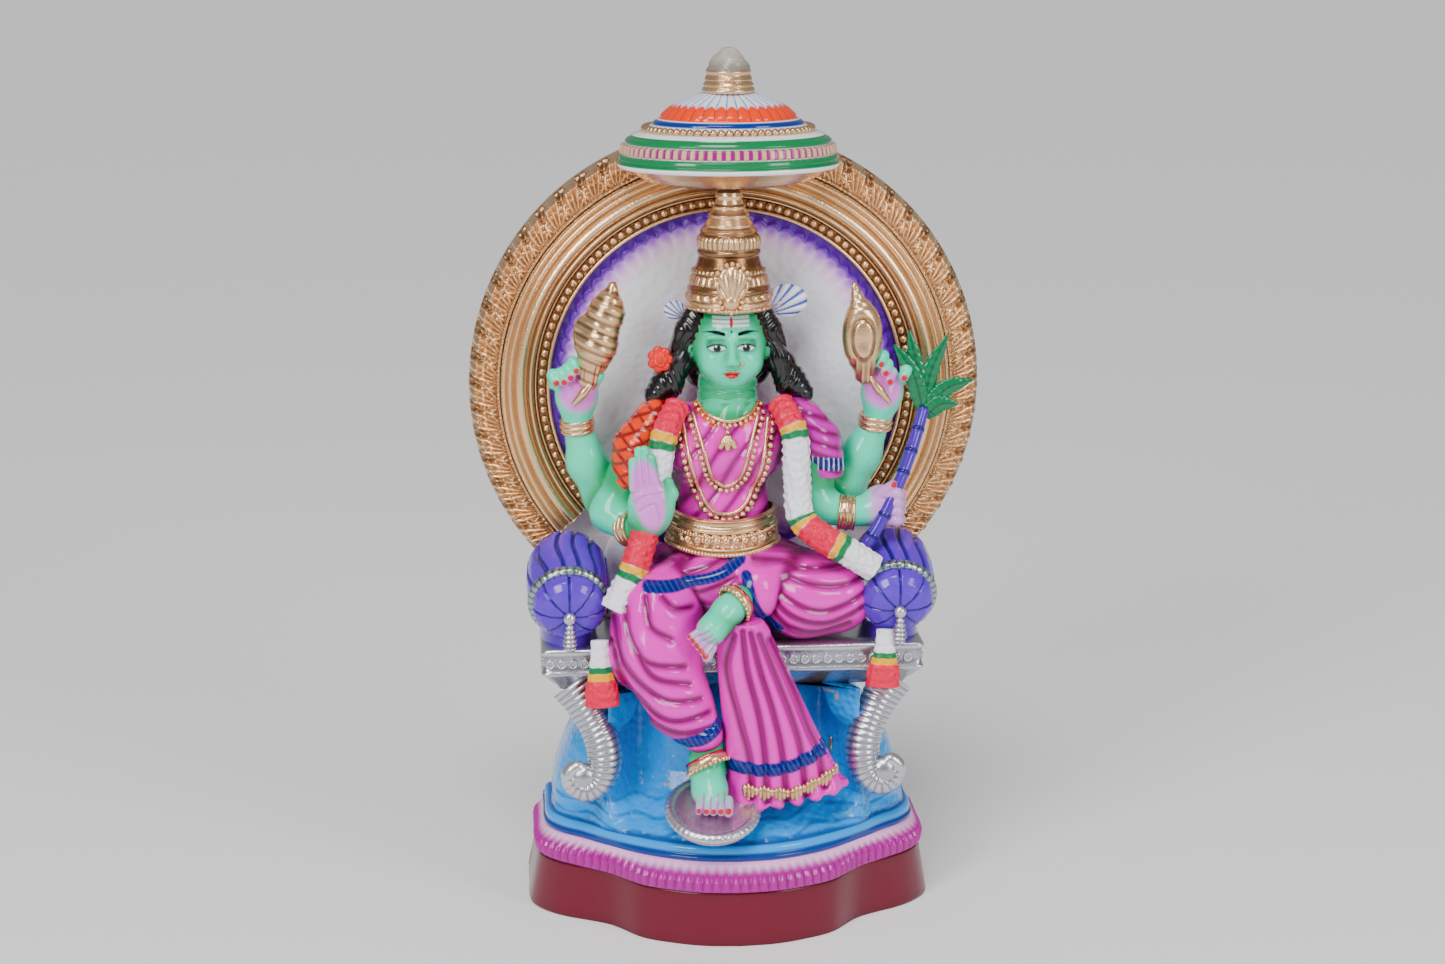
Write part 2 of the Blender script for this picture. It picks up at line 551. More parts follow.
def arch_ring(profile, paint, relief=None, count=900):
    """A (radius, y) profile swept round the arch; relief(along in mm, radius, row) lowers y (brings it forward)."""
    prof = np.array(profile, float)
    n = int(count / FINE)
    rr, tt = np.meshgrid(prof[:, 0], np.linspace(-ARCH_HALF_SPAN, ARCH_HALF_SPAN, n), indexing="ij")
    yy = np.repeat(prof[:, 1][:, None], n, 1)
    colour = paint(tt, rr, yy)
    if relief:
        rr, yy = relief(tt, rr, yy)
    verts = np.stack([rr * np.sin(tt), yy, ARCH_Z + rr * np.cos(tt)], -1).reshape(-1, 3)
    faces = grid_faces(len(prof), n)
    caps = []
    for end in (0, n - 1):
        hub = len(verts) + len(caps)
        column = np.arange(len(prof)) * n + end
        caps.append(verts[column].mean(axis=0))
        fan = np.stack([column[:-1], column[1:], np.full(len(prof) - 1, hub)], -1)
        faces = np.vstack([split(faces), fan if end else fan[:, ::-1]])
    return np.vstack([verts, caps]), faces, np.vstack([colour.reshape(-1, 3), [GOLD, GOLD]])


def recess(tt, rr, yy):
    """Darker paint where a moulding lies deep."""
    return mix(GOLD, GOLD_DARK, step(yy, 26.8, 29.2) * 0.8)


moulding = [(88.9, 41), (89, 29), (89.6, 27.4), (90.6, 26.8), (91.6, 27.6), (92, 28.6), (92.6, 27),
            (93.6, 25.4), (95, 24.8), (96.6, 25.4), (97.8, 26.8), (98.4, 28), (98.9, 26.6), (99.8, 25.6),
            (100.8, 26), (101.3, 27.6), (101.9, 26.4), (102.8, 25.6), (103.7, 26.2), (104.3, 27.8),
            (104.6, 41)]
piece("arch_moulding_skin", arch_ring(dense(moulding, 0.5), recess), GOLD_PAINT, "gold_paint",
      ["arch_moulding"])

bead_ring = arch_ring(dense([(81.3, 41), (81.4, 30.5), (82, 29.2), (83, 29.4), (83.6, 30.8), (87.4, 30.8),
                             (88, 29.4), (88.8, 29.6), (89.1, 41)], 0.5), lambda t, r,
                      y: mix(GOLD, GOLD_DARK, step(y, 30, 30.8)))
beads = [bead_ring]
BEADS = 88
for k in range(BEADS):
    a = -ARCH_HALF_SPAN + (k + 0.5) / BEADS * 2 * ARCH_HALF_SPAN
    beads.append(ball((85.5 * math.sin(a), 29.8, ARCH_Z + 85.5 * math.cos(a)), 1.75, GOLD, (1, 0.9, 1)))
piece("arch_bead_ring_skin", join(beads), GOLD_PAINT, "gold_paint", ["arch_bead_ring"])

LEAVES = 44
LEAF_STEP = 2 * ARCH_HALF_SPAN / LEAVES


def leaf_height(tt, rr):
    """Relief of ribbed acanthus leaves side by side with small buds between, 0 in the gaps to 1 on the ribs."""
    v = np.clip((rr - 104.8) / 13.5, 0, 1)
    u = (tt + ARCH_HALF_SPAN) / LEAF_STEP + 0.5 * (v - 0.5) * np.sign(tt)
    u = (u - np.floor(u) - 0.5) * 2
    fan = np.arctan2(u, 0.28 + v)
    width = 0.88 - 0.3 * (v - 0.55) ** 2 * 4 * (v > 0.55) + 0.09 * np.cos(v * 21)
    blade = step(width - np.abs(u), 0.0, 0.2)
    rib = np.abs(np.cos(fan * 6.5))
    curl = np.exp(-((v - 0.86) / 0.13) ** 2) * 0.6 * step(np.abs(u), 0.75, 0.15)
    bud = np.exp(-(((1 - np.abs(u)) / 0.2) ** 2 + ((v - 0.3) / 0.26) ** 2)) * 0.8
    bud = np.maximum(bud, np.exp(-(((1 - np.abs(u)) / 0.14) ** 2 + ((v - 0.86) / 0.12) ** 2)) * 0.6)
    return np.maximum(blade * (0.2 + 0.7 * rib * step(v, 0.0, 0.3)) + curl, bud)


def leaf_relief(tt, rr, yy):
    h = leaf_height(tt, rr)
    front = step(yy, 36, 32)
    edge = step(rr, 112, 118.5) * 1.6
    return rr - edge * (1 - np.clip(h, 0, 1)) * front, yy - (h * 3.8 - 1.7) * front * step(rr, 104.9, 106)


leaf_profile = dense([(104.6, 41), (104.7, 29), (107, 28), (112, 28.4), (116, 30), (118.2, 32.4),
                      (119, 35.5), (119, 41.6), (117, 42), (106, 42)], 0.42)
piece("arch_leaf_ring_skin", arch_ring(leaf_profile, lambda t, r, y: mix(
    GOLD_DARK, GOLD, step(leaf_height(t, r), -0.1, 0.42) + step(y, 34, 40)), leaf_relief, 1900),
    GOLD_PAINT, "gold_paint", ["arch_leaf_ring"])

SCALLOPS = 74
disc_r = np.concatenate([np.linspace(0.5, 60, 30), np.linspace(60.5, DISC_RADIUS, int(46 / FINE))])
rr, tt = np.meshgrid(disc_r, np.linspace(0, TAU, int(1100 / FINE) + 1)[:-1], indexing="ij")
petal = np.abs(np.sin(tt * SCALLOPS / 2))
edge_at = 76.0 + 1.8 * petal
depth = np.where(rr > 70, 0.9 * np.exp(-((rr - edge_at) / 1.1) ** 2) + 0.35 * petal * step(rr, 66, 74), 0)
disc_paint = mix(WHITE, srgb(246, 196, 246), step(rr, 62, 71) * (0.35 + 0.65 * petal))
disc_paint = mix(disc_paint, srgb(168, 92, 226), step(rr, 69.5, 75.5) * (0.55 + 0.45 * petal))
disc_paint = mix(disc_paint, PURPLE_DEEP, step(rr, edge_at - 2.2, edge_at + 0.4))
disc_verts = np.stack([rr * np.sin(tt), 34.2 - depth, ARCH_Z + rr * np.cos(tt)], -1).reshape(-1, 3)
disc = (disc_verts, grid_faces(len(disc_r), rr.shape[1], wrap_cols=True), disc_paint.reshape(-1, 3))

below = math.radians(41)
plate_edge = [(-58, 131), (58, 131), (60, 152)] + [
    (112 * math.cos(a), ARCH_Z + 112 * math.sin(a)) for a in np.linspace(-below, math.pi + below,
            90)] + [(-60, 152)]
plate_edge = np.array(plate_edge)
plate_mid = np.array([0, 215])
plate_rows = []
for y, k in ((39.2, 0.0005), (39.2, 0.999), (39.6, 1.0), (43.6, 1.0), (44, 0.998), (44, 0.5),
             (44, 0.0005)):
    ring = plate_mid + (plate_edge - plate_mid) * k
    plate_rows.append(np.column_stack([ring[:, 0], np.full(len(ring), y), ring[:, 1]]))
plate = (np.vstack(plate_rows), grid_faces(7, len(plate_edge), wrap_cols=True)[:, ::-1],
         srgb(222, 214, 214))
stem_edge = np.array([(-57, 131.2), (57, 131.2), (58, 160), (50, 180), (-50, 180), (-58, 160)])
stem = (np.vstack([np.column_stack([stem_edge[:, 0] * k, np.full(6, y),
                                    155 + (stem_edge[:, 1] - 155) * k])
                   for y, k in ((39, 1), (35, 0.995), (34.6, 0.98), (34.6, 0.5), (34.6, 0.0005))]),
        grid_faces(5, 6, wrap_cols=True), WHITE)
piece("back_panel_skin", join([disc, plate, stem]), WHITE_PEBBLED, "white_enamel", ["back_panel"])

# ---------------------------------------------------------------- parasol and finial

PARASOL_Y = 16.0
SQUASH = 0.76
BLOCKS = 76


def canopy_paint(a, r, z):
    colour = mix(WHITE, GREEN, step(z, 348.1, 348.5) * step(z, 352.7, 352.3))
    block = step(np.sin(a * BLOCKS), -0.25, 0.15)
    colour = mix(colour, mix(np.array((0.32, 0.0, 0.20)), GOLD * 0.8, block),
                 step(z, 352.6, 352.8) * step(z, 357.4, 357.2))
    colour = mix(colour, GREEN, step(z, 357.3, 357.5) * step(z, 361.4, 361))
    return colour


canopy_profile = dense([(46, 346.4), (49.4, 346.3), (50.4, 347.4), (50.2, 348.8), (49.2, 349.4),
                        (49.8, 350.4), (49.4, 351.8), (48, 352.6), (48.2, 353.4), (47.6, 356.8),
                        (46.6, 357.4), (46.8, 358.6), (45.8, 359.8), (44.4, 360.4), (43.4, 361.6),
                        (41, 362.6), (36, 363)], 0.35)
canopy_geo = lathe(canopy_profile, (0, PARASOL_Y), canopy_paint, int(1200 / FINE), SQUASH, flat_back=44.4,
                   wave=lambda a, r, z: 1.2 * step(np.sin(a * BLOCKS), -0.3, 0.2) * step(z, 352.6, 353.4)
                   * step(z, 357.4, 356.8))
piece("parasol_canopy_skin", canopy_geo, ENAMEL, "parasol_enamel", ["parasol_canopy"])
soffit_geo = lathe(dense([(24, 338.8), (31, 339), (37, 340.4), (42, 343), (46, 345.6), (47.5, 346.4),
                          (40, 346.6)], 0.6),
                   (0, PARASOL_Y), lambda a, r, z: mix(GOLD, GOLD_DARK, step(z, 342, 339) * 0.6), 240,
                   SQUASH,
                   flat_back=43.0)
piece("parasol_soffit_skin", soffit_geo, GOLD_PAINT, "gold_paint", ["parasol_soffit"])

ORANGE_PETALS = 34


def crown_tier_paint(a, r, z):
    flute = np.abs(np.sin(a * ORANGE_PETALS / 2))
    colour = mix(WHITE, NAVY * 0.6 + BLUE_DEEP * 0.6, step(z, 365.6, 365.9) * step(z, 368.2, 367.8))
    orange = mix(ORANGE, ORANGE * 0.55, step(flute, 0.3, 0.0))
    top = 373.6 + 1.4 * flute
    colour = mix(colour, orange, step(z, 368.2, 368.5) * step(z, top + 0.5, top - 0.3))
    tinted = mix(srgb(226, 232, 246), srgb(60, 120, 200), step(flute, 0.5, 0.0))
    return mix(colour, tinted, step(z, top - 0.3, top + 0.5))


crown_tier = lathe(dense([(37.5, 362.4), (36.8, 363), (35.4, 365.4), (34.2, 365.8), (33.8, 367),
                          (32, 368.2), (31, 368.5), (29.6, 370.6), (27.4, 372.6), (24.4, 374.6),
                          (20.6, 376.4), (16, 378.2), (12.4, 379.6), (8, 380.4)],
                         0.4), (0, PARASOL_Y), crown_tier_paint, int(900 / FINE), SQUASH, flat_back=44.4,
                   wave=lambda a, r, z: 0.5 * np.abs(np.sin(a * ORANGE_PETALS / 2)) * step(z, 368.5, 370)
                   * step(r, 11, 16))
parasol_beads = []
for k in range(66):
    a = k / 66 * TAU
    y = PARASOL_Y + 37.6 * SQUASH * math.sin(a)
    if y < 43:
        parasol_beads.append(ball((37.6 * math.cos(a), y, 363.9), 1.85, GOLD * 0.85))
piece("parasol_crown_skin", crown_tier, ENAMEL, "parasol_enamel", ["parasol_crown"])
piece("parasol_beads", join(parasol_beads), GOLD_PAINT, "gold_paint")

rings = lathe(dense([(6, 379.4), (11.6, 379.8), (12, 380.8), (11.6, 381.9), (10.9, 382.3), (11.5, 383.2),
                     (10.9, 384.3), (10.2, 384.7), (10.8, 385.6), (10.2, 387), (9.8, 387.8),
                     (10.3, 389.2), (9.8, 390.2), (4, 390.4)], 0.3),
              (0, PARASOL_Y), lambda a, r,
              z: mix(GOLD, GOLD_DARK, step(r, 11, 10.2) * step(z, 389, 382) * 0.7), 160)
piece("finial_rings_skin", rings, GOLD_PAINT, "gold_paint", ["finial_rings"])
bud = lathe(dense([(9.9, 389.6), (9.6, 391), (8.6, 393.2), (7, 395.2), (5.4, 396.8), (4, 398.4),
                   (2.6, 399.6), (0.1, 400)],
                  0.3), (0, PARASOL_Y), lambda a, r,
            z: mix(srgb(176, 168, 156), srgb(132, 126, 118), step(z, 396, 391)), 96,
            wave=lambda a, r, z: 0.3 * np.sin(a * 3 + z) * step(r, 0.5, 3))
piece("finial_bud_skin", bud, SATIN, "bud_paint", ["finial_bud"])

# ---------------------------------------------------------------- sculpting with distances

def ellip(p, centre, radii):
    """Rough distance to an ellipsoid."""
    q = [p[i] - centre[i] for i in range(3)]
    k0 = np.sqrt(sum((q[i] / radii[i]) ** 2 for i in range(3)))
    k1 = np.sqrt(sum((q[i] / radii[i] ** 2) ** 2 for i in range(3))) + 1e-6
    return k0 * (k0 - 1) / k1


def rod(p, a, b, ra, rb):
    """Distance to a tapered round rod from a to b."""
    ab = [b[i] - a[i] for i in range(3)]
    size = sum(c * c for c in ab)
    t = np.clip(sum((p[i] - a[i]) * ab[i] for i in range(3)) / size, 0, 1)
    gap = np.sqrt(sum((p[i] - a[i] - t * ab[i]) ** 2 for i in range(3)))
    return gap - (ra + (rb - ra) * t)


def blend(a, b, k):
    """Smooth union of two distances."""
    h = np.clip(0.5 + 0.5 * (b - a) / k, 0, 1)
    return b * (1 - h) + a * h - k * h * (1 - h)


def carve(a, b, k):
    """Smooth removal of b from a."""
    return -blend(-a, b, k)


def limb(p, points, radii, k=2.0):
    """Rods end to end."""
    out = rod(p, points[0], points[1], radii[0], radii[1])
    for i in range(1, len(points) - 1):
        out = blend(out, rod(p, points[i], points[i + 1], radii[i], radii[i + 1]), k)
    return out


def mesh_normals(verts, faces):
    """Unit normals of the vertices."""
    a, b, c = verts[faces[:, 0]], verts[faces[:, 1]], verts[faces[:, 2]]
    n = np.cross(b - a, c - a)
    out = np.stack([sum(np.bincount(faces[:, j], n[:, i], len(verts)) for j in range(faces.shape[1]))
                    for i in range(3)], -1)
    return out / (np.linalg.norm(out, axis=1)[:, None] + 1e-12)


def sculpt(field, low, high, cell, paint, dent=None):
    """The skin of a distance field, dented inwards by dent(verts, normals), and painted."""
    cell = cell * FINE
    low = np.array(low, float) - 2 * cell
    counts = np.ceil((np.array(high) + 2 * cell - low) / cell).astype(int) + 1
    axes = [low[i] + cell * np.arange(counts[i]) for i in range(3)]
    p = np.meshgrid(*axes, indexing="ij", sparse=True)
    values = np.clip(np.broadcast_to(field(p), counts), -3 * cell, 3 * cell).astype(np.float32)
    grid = openvdb.FloatGrid(3 * cell)
    grid.copyFromArray(np.ascontiguousarray(values))
    points, quads = grid.convertToQuads(0.0)
    verts = points.astype(float) * cell + low
    faces = quads.astype(int)
    normals = mesh_normals(verts, faces)
    probe = verts[::97] + normals[::97] * 0.5 * cell
    if np.mean(field(probe.T) - field(verts[::97].T)) < 0:
        faces = faces[:, ::-1]
        normals = -normals
    if dent:
        verts = verts - normals * dent(verts, normals)[:, None]
    return verts, faces, paint(verts, normals)


def line_gap(verts, points, axes=(0, 2)):
    """Distance of each vertex from a smooth line, seen along the left-out axis."""
    line = smooth_line(points, 56)
    p = verts[:, axes]
    best = np.full(len(p), 1e9)
    for a, b in zip(line[:-1], line[1:]):
        ab = b - a
        t = np.clip(((p - a) @ ab) / (ab @ ab + 1e-12), 0, 1)
        best = np.minimum(best, np.linalg.norm(p - a - t[:, None] * ab, axis=1))
    return best


def touch(field, verts, width):
    """1 where another piece's skin meets this one, fading over width."""
    return np.exp(-(np.clip(field(verts.T), 0, None) / width) ** 2)


def bump_line(gap, width):
    """1 on a line, fading away from it with the gap."""
    return np.exp(-(gap / width) ** 2)


SIGHT_START, SIGHT_STEPS = -60.0, 90


def front_of(field, x, z, start=SIGHT_START, miss=3.0):
    """The y where a line of sight from the front meets a field, or miss where it passes by."""
    y = start
    for _ in range(SIGHT_STEPS):
        d = float(field((np.float64(x), np.float64(y), np.float64(z))))
        if d < 0.02:
            return y
        y += max(d * 0.7, 0.02)
        if y > miss:
            break
    return miss


def draped(field, line, lift, count=40):
    """A line given by (x, z), laid on the front of a field."""
    pts = smooth_line(line, count)
    return [(x, front_of(field, x, z) - lift, z) for x, z in pts]


# ---------------------------------------------------------------- the shapes of the body

def torso_field(p):
    d = ellip(p, (-3, 9, 190), (21.5, 16, 24))
    d = blend(d, ellip(p, (-2, 9, 219), (28.5, 18, 21)), 6)
    d = blend(d, rod(p, (-28, 9.5, 229.5), (26, 9.5, 229.5), 9.6, 9.6), 5)
    for s in (-1, 1):
        d = blend(d, ellip(p, (-2.3 + s * 12, -2, 215), (11, 8.6, 11)), 3)
    d = blend(d, ellip(p, (-3, 9, 177), (24, 18.5, 10)), 4)
    return blend(d, rod(p, (-1, 9, 234), (-1, 9, 241), 15.5, 14), 3)


def head_field(p):
    d = ellip(p, (-0.5, 8, 270), (17.2, 16.6, 18.5))
    d = blend(d, ellip(p, (-0.5, 3, 263), (15.8, 13, 15)), 4)
    d = blend(d, ellip(p, (-0.5, -3.4, 253.6), (7, 5.6, 4.6)), 5)
    for s in (-1, 1):
        d = blend(d, ellip(p, (-0.5 + s * 7.6, -3.4, 259.5), (6.4, 5.4, 6)), 4)
        d = carve(d, ellip(p, (-0.5 + s * 6.6, -13.4, 268.2), (4.6, 3.4, 3.0)), 3)
        d = blend(d, ellip(p, (-0.5 + s * 6.6, -6.4, 267.8), (4.4, 4.4, 3.1)), 0.8)
        d = blend(d, ellip(p, (-0.5 + s * 6.9, -8.6, 272.6), (5.2, 2, 1.4)), 2)
        d = blend(d, ellip(p, (-0.5 + s * 1.9, -11.9, 261.2), (1.7, 1.9, 1.3)), 0.8)
        d = blend(d, ellip(p, (-0.5 + s * 1.5, -11.2, 257.0), (2.4, 1.9, 0.9)), 0.4)
        d = blend(d, ellip(p, (-0.5 + s * 17.7, 8, 266), (2.2, 4.2, 6.6)), 1)
    d = blend(d, rod(p, (-0.5, -9.0, 271), (-0.5, -12.8, 262.4), 1.3, 1.9), 1.6)
    d = blend(d, ellip(p, (-0.5, -11.2, 255.2), (3.0, 1.9, 1.1)), 0.4)
    return blend(d, rod(p, (-1, 9.5, 232), (-1, 8.5, 256), 14.4, 13.2), 2)


def hair_field(p):
    d = ellip(p, (-0.5, 10.5, 271), (19.6, 17, 18.6))
    d = carve(d, ellip(p, (-0.5, -13, 264.5), (16.2, 21, 23)), 2)
    d = blend(d, ellip(p, (-0.5, 19, 264), (24, 11, 25)), 4)
    for s in (-1, 1):
        d = blend(d, limb(p, [(s * 14 - 0.5, 9, 284), (s * 19.5 - 0.5, 9, 273), (s * 22.5, 10, 260),
                              (s * 28.5, 11, 248), (s * 33, 11, 243)], [5, 5.4, 6.4, 7.6, 6.4]), 3)
    return d


def lap_field(p):
    d = ellip(p, (-1, 10, 156), (43, 27, 23))
    d = blend(d, ellip(p, (-4, -8, 160), (35, 17, 14)), 6)
    d = blend(d, ellip(p, (10, -20, 157), (11, 10, 13)), 4)
    return blend(d, ellip(p, (22, -4, 162), (26, 18, 13)), 6)


def leg_left_field(p):
    return limb(p, [(-22, -6, 158), (-36, -17, 147), (-36.5, -21, 130), (-26, -28, 108),
                    (-15.5, -31, 94)],
                [15, 19, 20, 14.5, 9.8], 6)


def leg_right_field(p):
    return limb(p, [(10, -2, 157), (32, -8, 152.6), (47, -7, 152)], [16, 19.6, 18.4], 5)


def pleats_field(p):
    x, y, z = p
    t = np.clip((148 - z) / 88.0, 0, 1)
    middle = 2 + 9 * t + 15 * t ** 1.15
    wide = 8.5 + 14 * np.sqrt(t) + 7 * t ** 2
    deep = 9 + 5 * t
    front = -32 + 3 * t
    q = np.sqrt(((x - middle) / wide) ** 2 + ((y - front) / deep) ** 2)
    d = (q - 1) * np.minimum(wide, deep) * 0.8
    return np.maximum(d, np.maximum(z - 147, (60 + 0.18 * (x - 5)) - z))


def foot_raised_field(p):
    d = limb(p, [(1.5, -27.5, 156), (-4, -33.5, 152), (-12, -40.5, 145.5)], [6.4, 6.9, 7], 3)
    for k in range(5):
        t = k / 4
        base = (-17.5 + 5.5 * t, -42.5 - 1.5 * t, 146 - 7.5 * t)
        size = (2.3, 1.7, 1.6, 1.6, 1.5)[4 - k]
        d = blend(d, rod(p, base, (base[0] - 4.4 + 2 * t, base[1] - 1.6, base[2] - 2.6 - 1.6 * t), size,
                         size), 0.35)
    return d


def foot_down_field(p):
    d = limb(p, [(-14, -29, 92), (-13.6, -32, 78), (-12.8, -40, 69.5), (-12.4, -45, 66.5)],
             [8, 8, 7.8, 6.6], 3)
    for k in range(5):
        x = -18.6 + 3.3 * k
        size = (1.55, 1.6, 1.65, 1.75, 2.3)[k]
        reach = (0, 0.9, 1.4, 1.6, 1.8)[k]
        d = blend(d, rod(p, (x + 0.6, -45, 66.4), (x, -50.5 - reach, 63.4), size, size), 0.35)
    return d




def hand_rear_left_field(p):
    d = ellip(p, (-69.8, 9.5, 244.5), (10, 7, 11))
    d = blend(d, rod(p, (-69.7, 12, 230), (-70, 10, 240), 6.6, 8), 3)
    for tip in ((-79.2, 2.5, 251), (-75.6, 0.8, 251.6), (-72.6, 0.8, 253.6), (-70, 1.6, 256.6)):
        d = blend(d, limb(p, [(tip[0] - 1, 9, 249), (tip[0] - 1.4, 5, tip[2] + 3), tip], [2.6, 2.4, 2.2]),
                  0.9)
    return blend(d, limb(p, [(-63, 7, 248), (-60.5, 3, 254), (-62, 0.5, 258)], [3.2, 2.8, 2.3]), 1.2)


def hand_rear_right_field(p):
    d = ellip(p, (70.5, 9.5, 244), (10, 7, 12))
    d = blend(d, rod(p, (68.5, 12, 229), (70, 10, 240), 6.6, 8), 3)
    for tip in ((79.4, 2.5, 251), (72.6, 0.8, 249.6), (70.6, 0.8, 253.6), (68.6, 1.6, 257.6)):
        d = blend(d, limb(p, [(tip[0] + 1, 9, 249), (tip[0] + 1.4, 5, tip[2] + 3), tip], [2.6, 2.4, 2.2]),
                  0.9)
    return blend(d, limb(p, [(64, 7, 248), (61.5, 3, 253), (61.5, 0.5, 257.5)], [3.2, 2.8, 2.3]), 1.2)


def hand_front_left_field(p):
    d = ellip(p, (-37.6, -16.5, 197), (10.6, 5.6, 13.5))
    d = blend(d, rod(p, (-44, -7, 184), (-39, -13, 190), 7, 8), 4)
    for base, tip in (((-45, 206), (-45.6, 218)), ((-42, 208), (-43, 223)),
                      ((-38.6, 208), (-40.2, 223.4)), ((-35.4, 206), (-37.2, 219.5))):
        d = blend(d, rod(p, (base[0], -17.8, base[1]), (tip[0], -17.2, tip[1]), 2.5, 2.0), 0.7)
    return blend(d, limb(p, [(-30.5, -16, 196), (-28.4, -17, 203), (-29.6, -17.4, 208.5)],
                         [3.4, 2.9, 2.2]), 1.4)


def hand_front_right_field(p):
    d = ellip(p, (68.5, -4, 193), (8.6, 7, 9.4))
    d = blend(d, rod(p, (56, -3, 189.5), (65, -4, 191), 6.8, 7.6), 3)
    for k in range(4):
        z = 199.2 - 4.1 * k
        d = blend(d, limb(p, [(69, -8.5, z), (75.2, -11, z + 0.4), (77.8, -8, z)], [2.5, 2.4, 2.1]), 0.6)
    return blend(d, limb(p, [(67, -8, 199), (73, -11.5, 204)], [2.6, 2.1]), 1)


ARMS = {
    "arm_rear_left": ([(-44, 14, 206), (-57, 17, 194), (-65.5, 15, 211), (-69.5, 12.6, 229)],
                      [9, 9.6, 8.8, 6.5]),
    "arm_rear_right": ([(42, 14, 208), (54.5, 17, 198), (62, 15, 213), (67.8, 12.6, 228)],
                       [9, 9.6, 8.8, 6.5]),
    "arm_front_left": ([(-33, 6, 229), (-46, 6, 207), (-55, 4, 190), (-46.5, -5, 184)],
                       [10.5, 9.6, 9, 7]),
    "arm_front_right": ([(31, 6, 229), (38, 4, 210), (39, 1, 192.5), (54, -2.5, 189.3)],
                        [10.5, 9.8, 8.8, 6.8]),
}
SLEEVES = {
    "sleeve_left": ([(-34, 6, 231), (-42, 5, 220), (-46, 4, 206)], [11, 11.4, 9.6]),
    "sleeve_right": ([(32, 6, 231), (39, 5, 221), (42, 4, 210)], [11.2, 11.8, 11.2]),
}


def path_field(spec, k=4.0):
    return lambda p: limb(p, spec[0], spec[1], k)


garland_left_line = [(-24, 1, 240), (-28, -5, 234), (-31.5, -9.5, 226), (-35, -12, 207),
                     (-39.5, -15, 187), (-46, -20, 168), (-55.5, -25, 151)]
garland_right_line = [(22, 1, 241), (25.5, -5, 235), (28.5, -9.5, 226), (29, -13, 207),
                      (30.5, -16.5, 191), (38, -20.5, 183.4), (50, -22.5, 176.5), (64, -22, 167.5)]


def garland_field(p):
    return np.minimum(limb(p, garland_left_line, [6] * 7), limb(p, garland_right_line, [6] * 8))


# ---------------------------------------------------------------- painted body pieces

def crease_mask(verts, width, *fields):
    out = np.zeros(len(verts))
    for field in fields:
        out = np.maximum(out, touch(field, verts, width))
    return out


def head_paint(v, n):
    x, y, z = v.T + np.array([[0.5], [0], [0]])
    shade = 0.85 * step(z, 249.5, 246) * step(np.abs(np.sin((z - 236.5) * 0.52)), 0.55, 0.05)
    shade = np.maximum(shade, 0.85 * step(np.hypot(x / 15.5, (z - 265) / 19), 0.74, 1.04))
    shade = np.maximum(shade, step(z, 240.5, 236.5))
    eye = np.hypot((np.abs(x) - 6.8) / 5.6, (z - 269.6) / 4.2)
    shade = np.maximum(shade, 0.7 * step(eye, 1.15, 0.6))
    shade = np.maximum(shade,
                       0.55 * np.exp(-((np.abs(x) - 2.8) / 1.1) ** 2) * step(np.abs(z - 266), 6, 2))
    shade = np.maximum(shade, 0.5 * step(z, 274, 284))
    colour = mix(mix(MINT, EMERALD, 0.18), EMERALD, shade)
    front = y < 0
    ex = np.abs(x) - 6.6
    lid = 268.0 + 1.35 * (1 - (ex / 4.1) ** 2)
    low = 267.4 - 1.05 * (1 - (ex / 4.1) ** 2)
    opened = step(lid - z, -0.05, 0.25) * step(z - low, -0.05, 0.25) * (np.abs(ex) < 3.8) * front
    colour = mix(colour, WHITE, opened)
    iris = np.hypot(ex, z - 267.9)
    colour = mix(colour, BLACK, opened * step(iris, 1.95, 1.65))
    colour = mix(colour, WHITE, step(np.hypot(ex + 0.5 * np.sign(x), z - 268.7), 0.5, 0.3) * opened)
    lash = np.exp(-((z - lid - 0.15) / 0.5) ** 2) * step(np.abs(ex), 4.7, 4.2) * front
    under = np.exp(-((z - low + 0.05) / 0.22) ** 2) * step(np.abs(ex), 4, 3.4) * front * 0.8
    colour = mix(colour, BLACK, np.maximum(lash, under))
    arch = 273.6 + 1.1 * (1 - ((np.abs(x) - 8.2) / 6) ** 2)
    thick = 0.62 * step(np.abs(x), 13.2, 6)
    brow = step(np.abs(z - arch), thick + 0.3, thick - 0.1) * step(np.abs(x), 2.6, 3.2) * step(np.abs(x),
            13.2, 12.8)
    colour = mix(colour, BLACK, brow * front)
    wide = 3.7 * (1 - 0.04 * (z - 256) ** 2)
    upper = 257.0 + 0.9 * (1 - (x / 3.9) ** 2) - 0.35 * np.exp(-(x / 0.8) ** 2)
    lower = 255.8 - 1.6 * (1 - (x / 3.5) ** 2)
    mouth = step(upper - z, -0.05, 0.3) * step(z - lower, -0.05, 0.3) * (np.abs(x) < wide) * front
    colour = mix(colour, RED, mouth)
    colour = mix(colour, RED * 0.25, mouth * np.exp(-((z - 256.25) / 0.22) ** 2))
    for row in (277.4, 279.2, 281.0):
        colour = mix(colour, WHITE, step(np.abs(z - row), 0.75, 0.45) * step(np.abs(x), 8.6, 8.0) * front)
    colour = mix(colour, RED, step(np.hypot(x / 0.75, (z - 278.8) / 2.3), 1.12, 0.9) * front)
    return mix(colour, BLACK, step(np.hypot(x, z - 275.0), 0.65, 0.4) * front)


def head_dent(v, n):
    folds = sum(bump_line(v[:, 2] - level + 0.012 * (v[:, 0]) ** 2 * 0.5, 0.7) for level in (242.6,
            247.2))
    return 0.7 * folds * (v[:, 2] < 250)


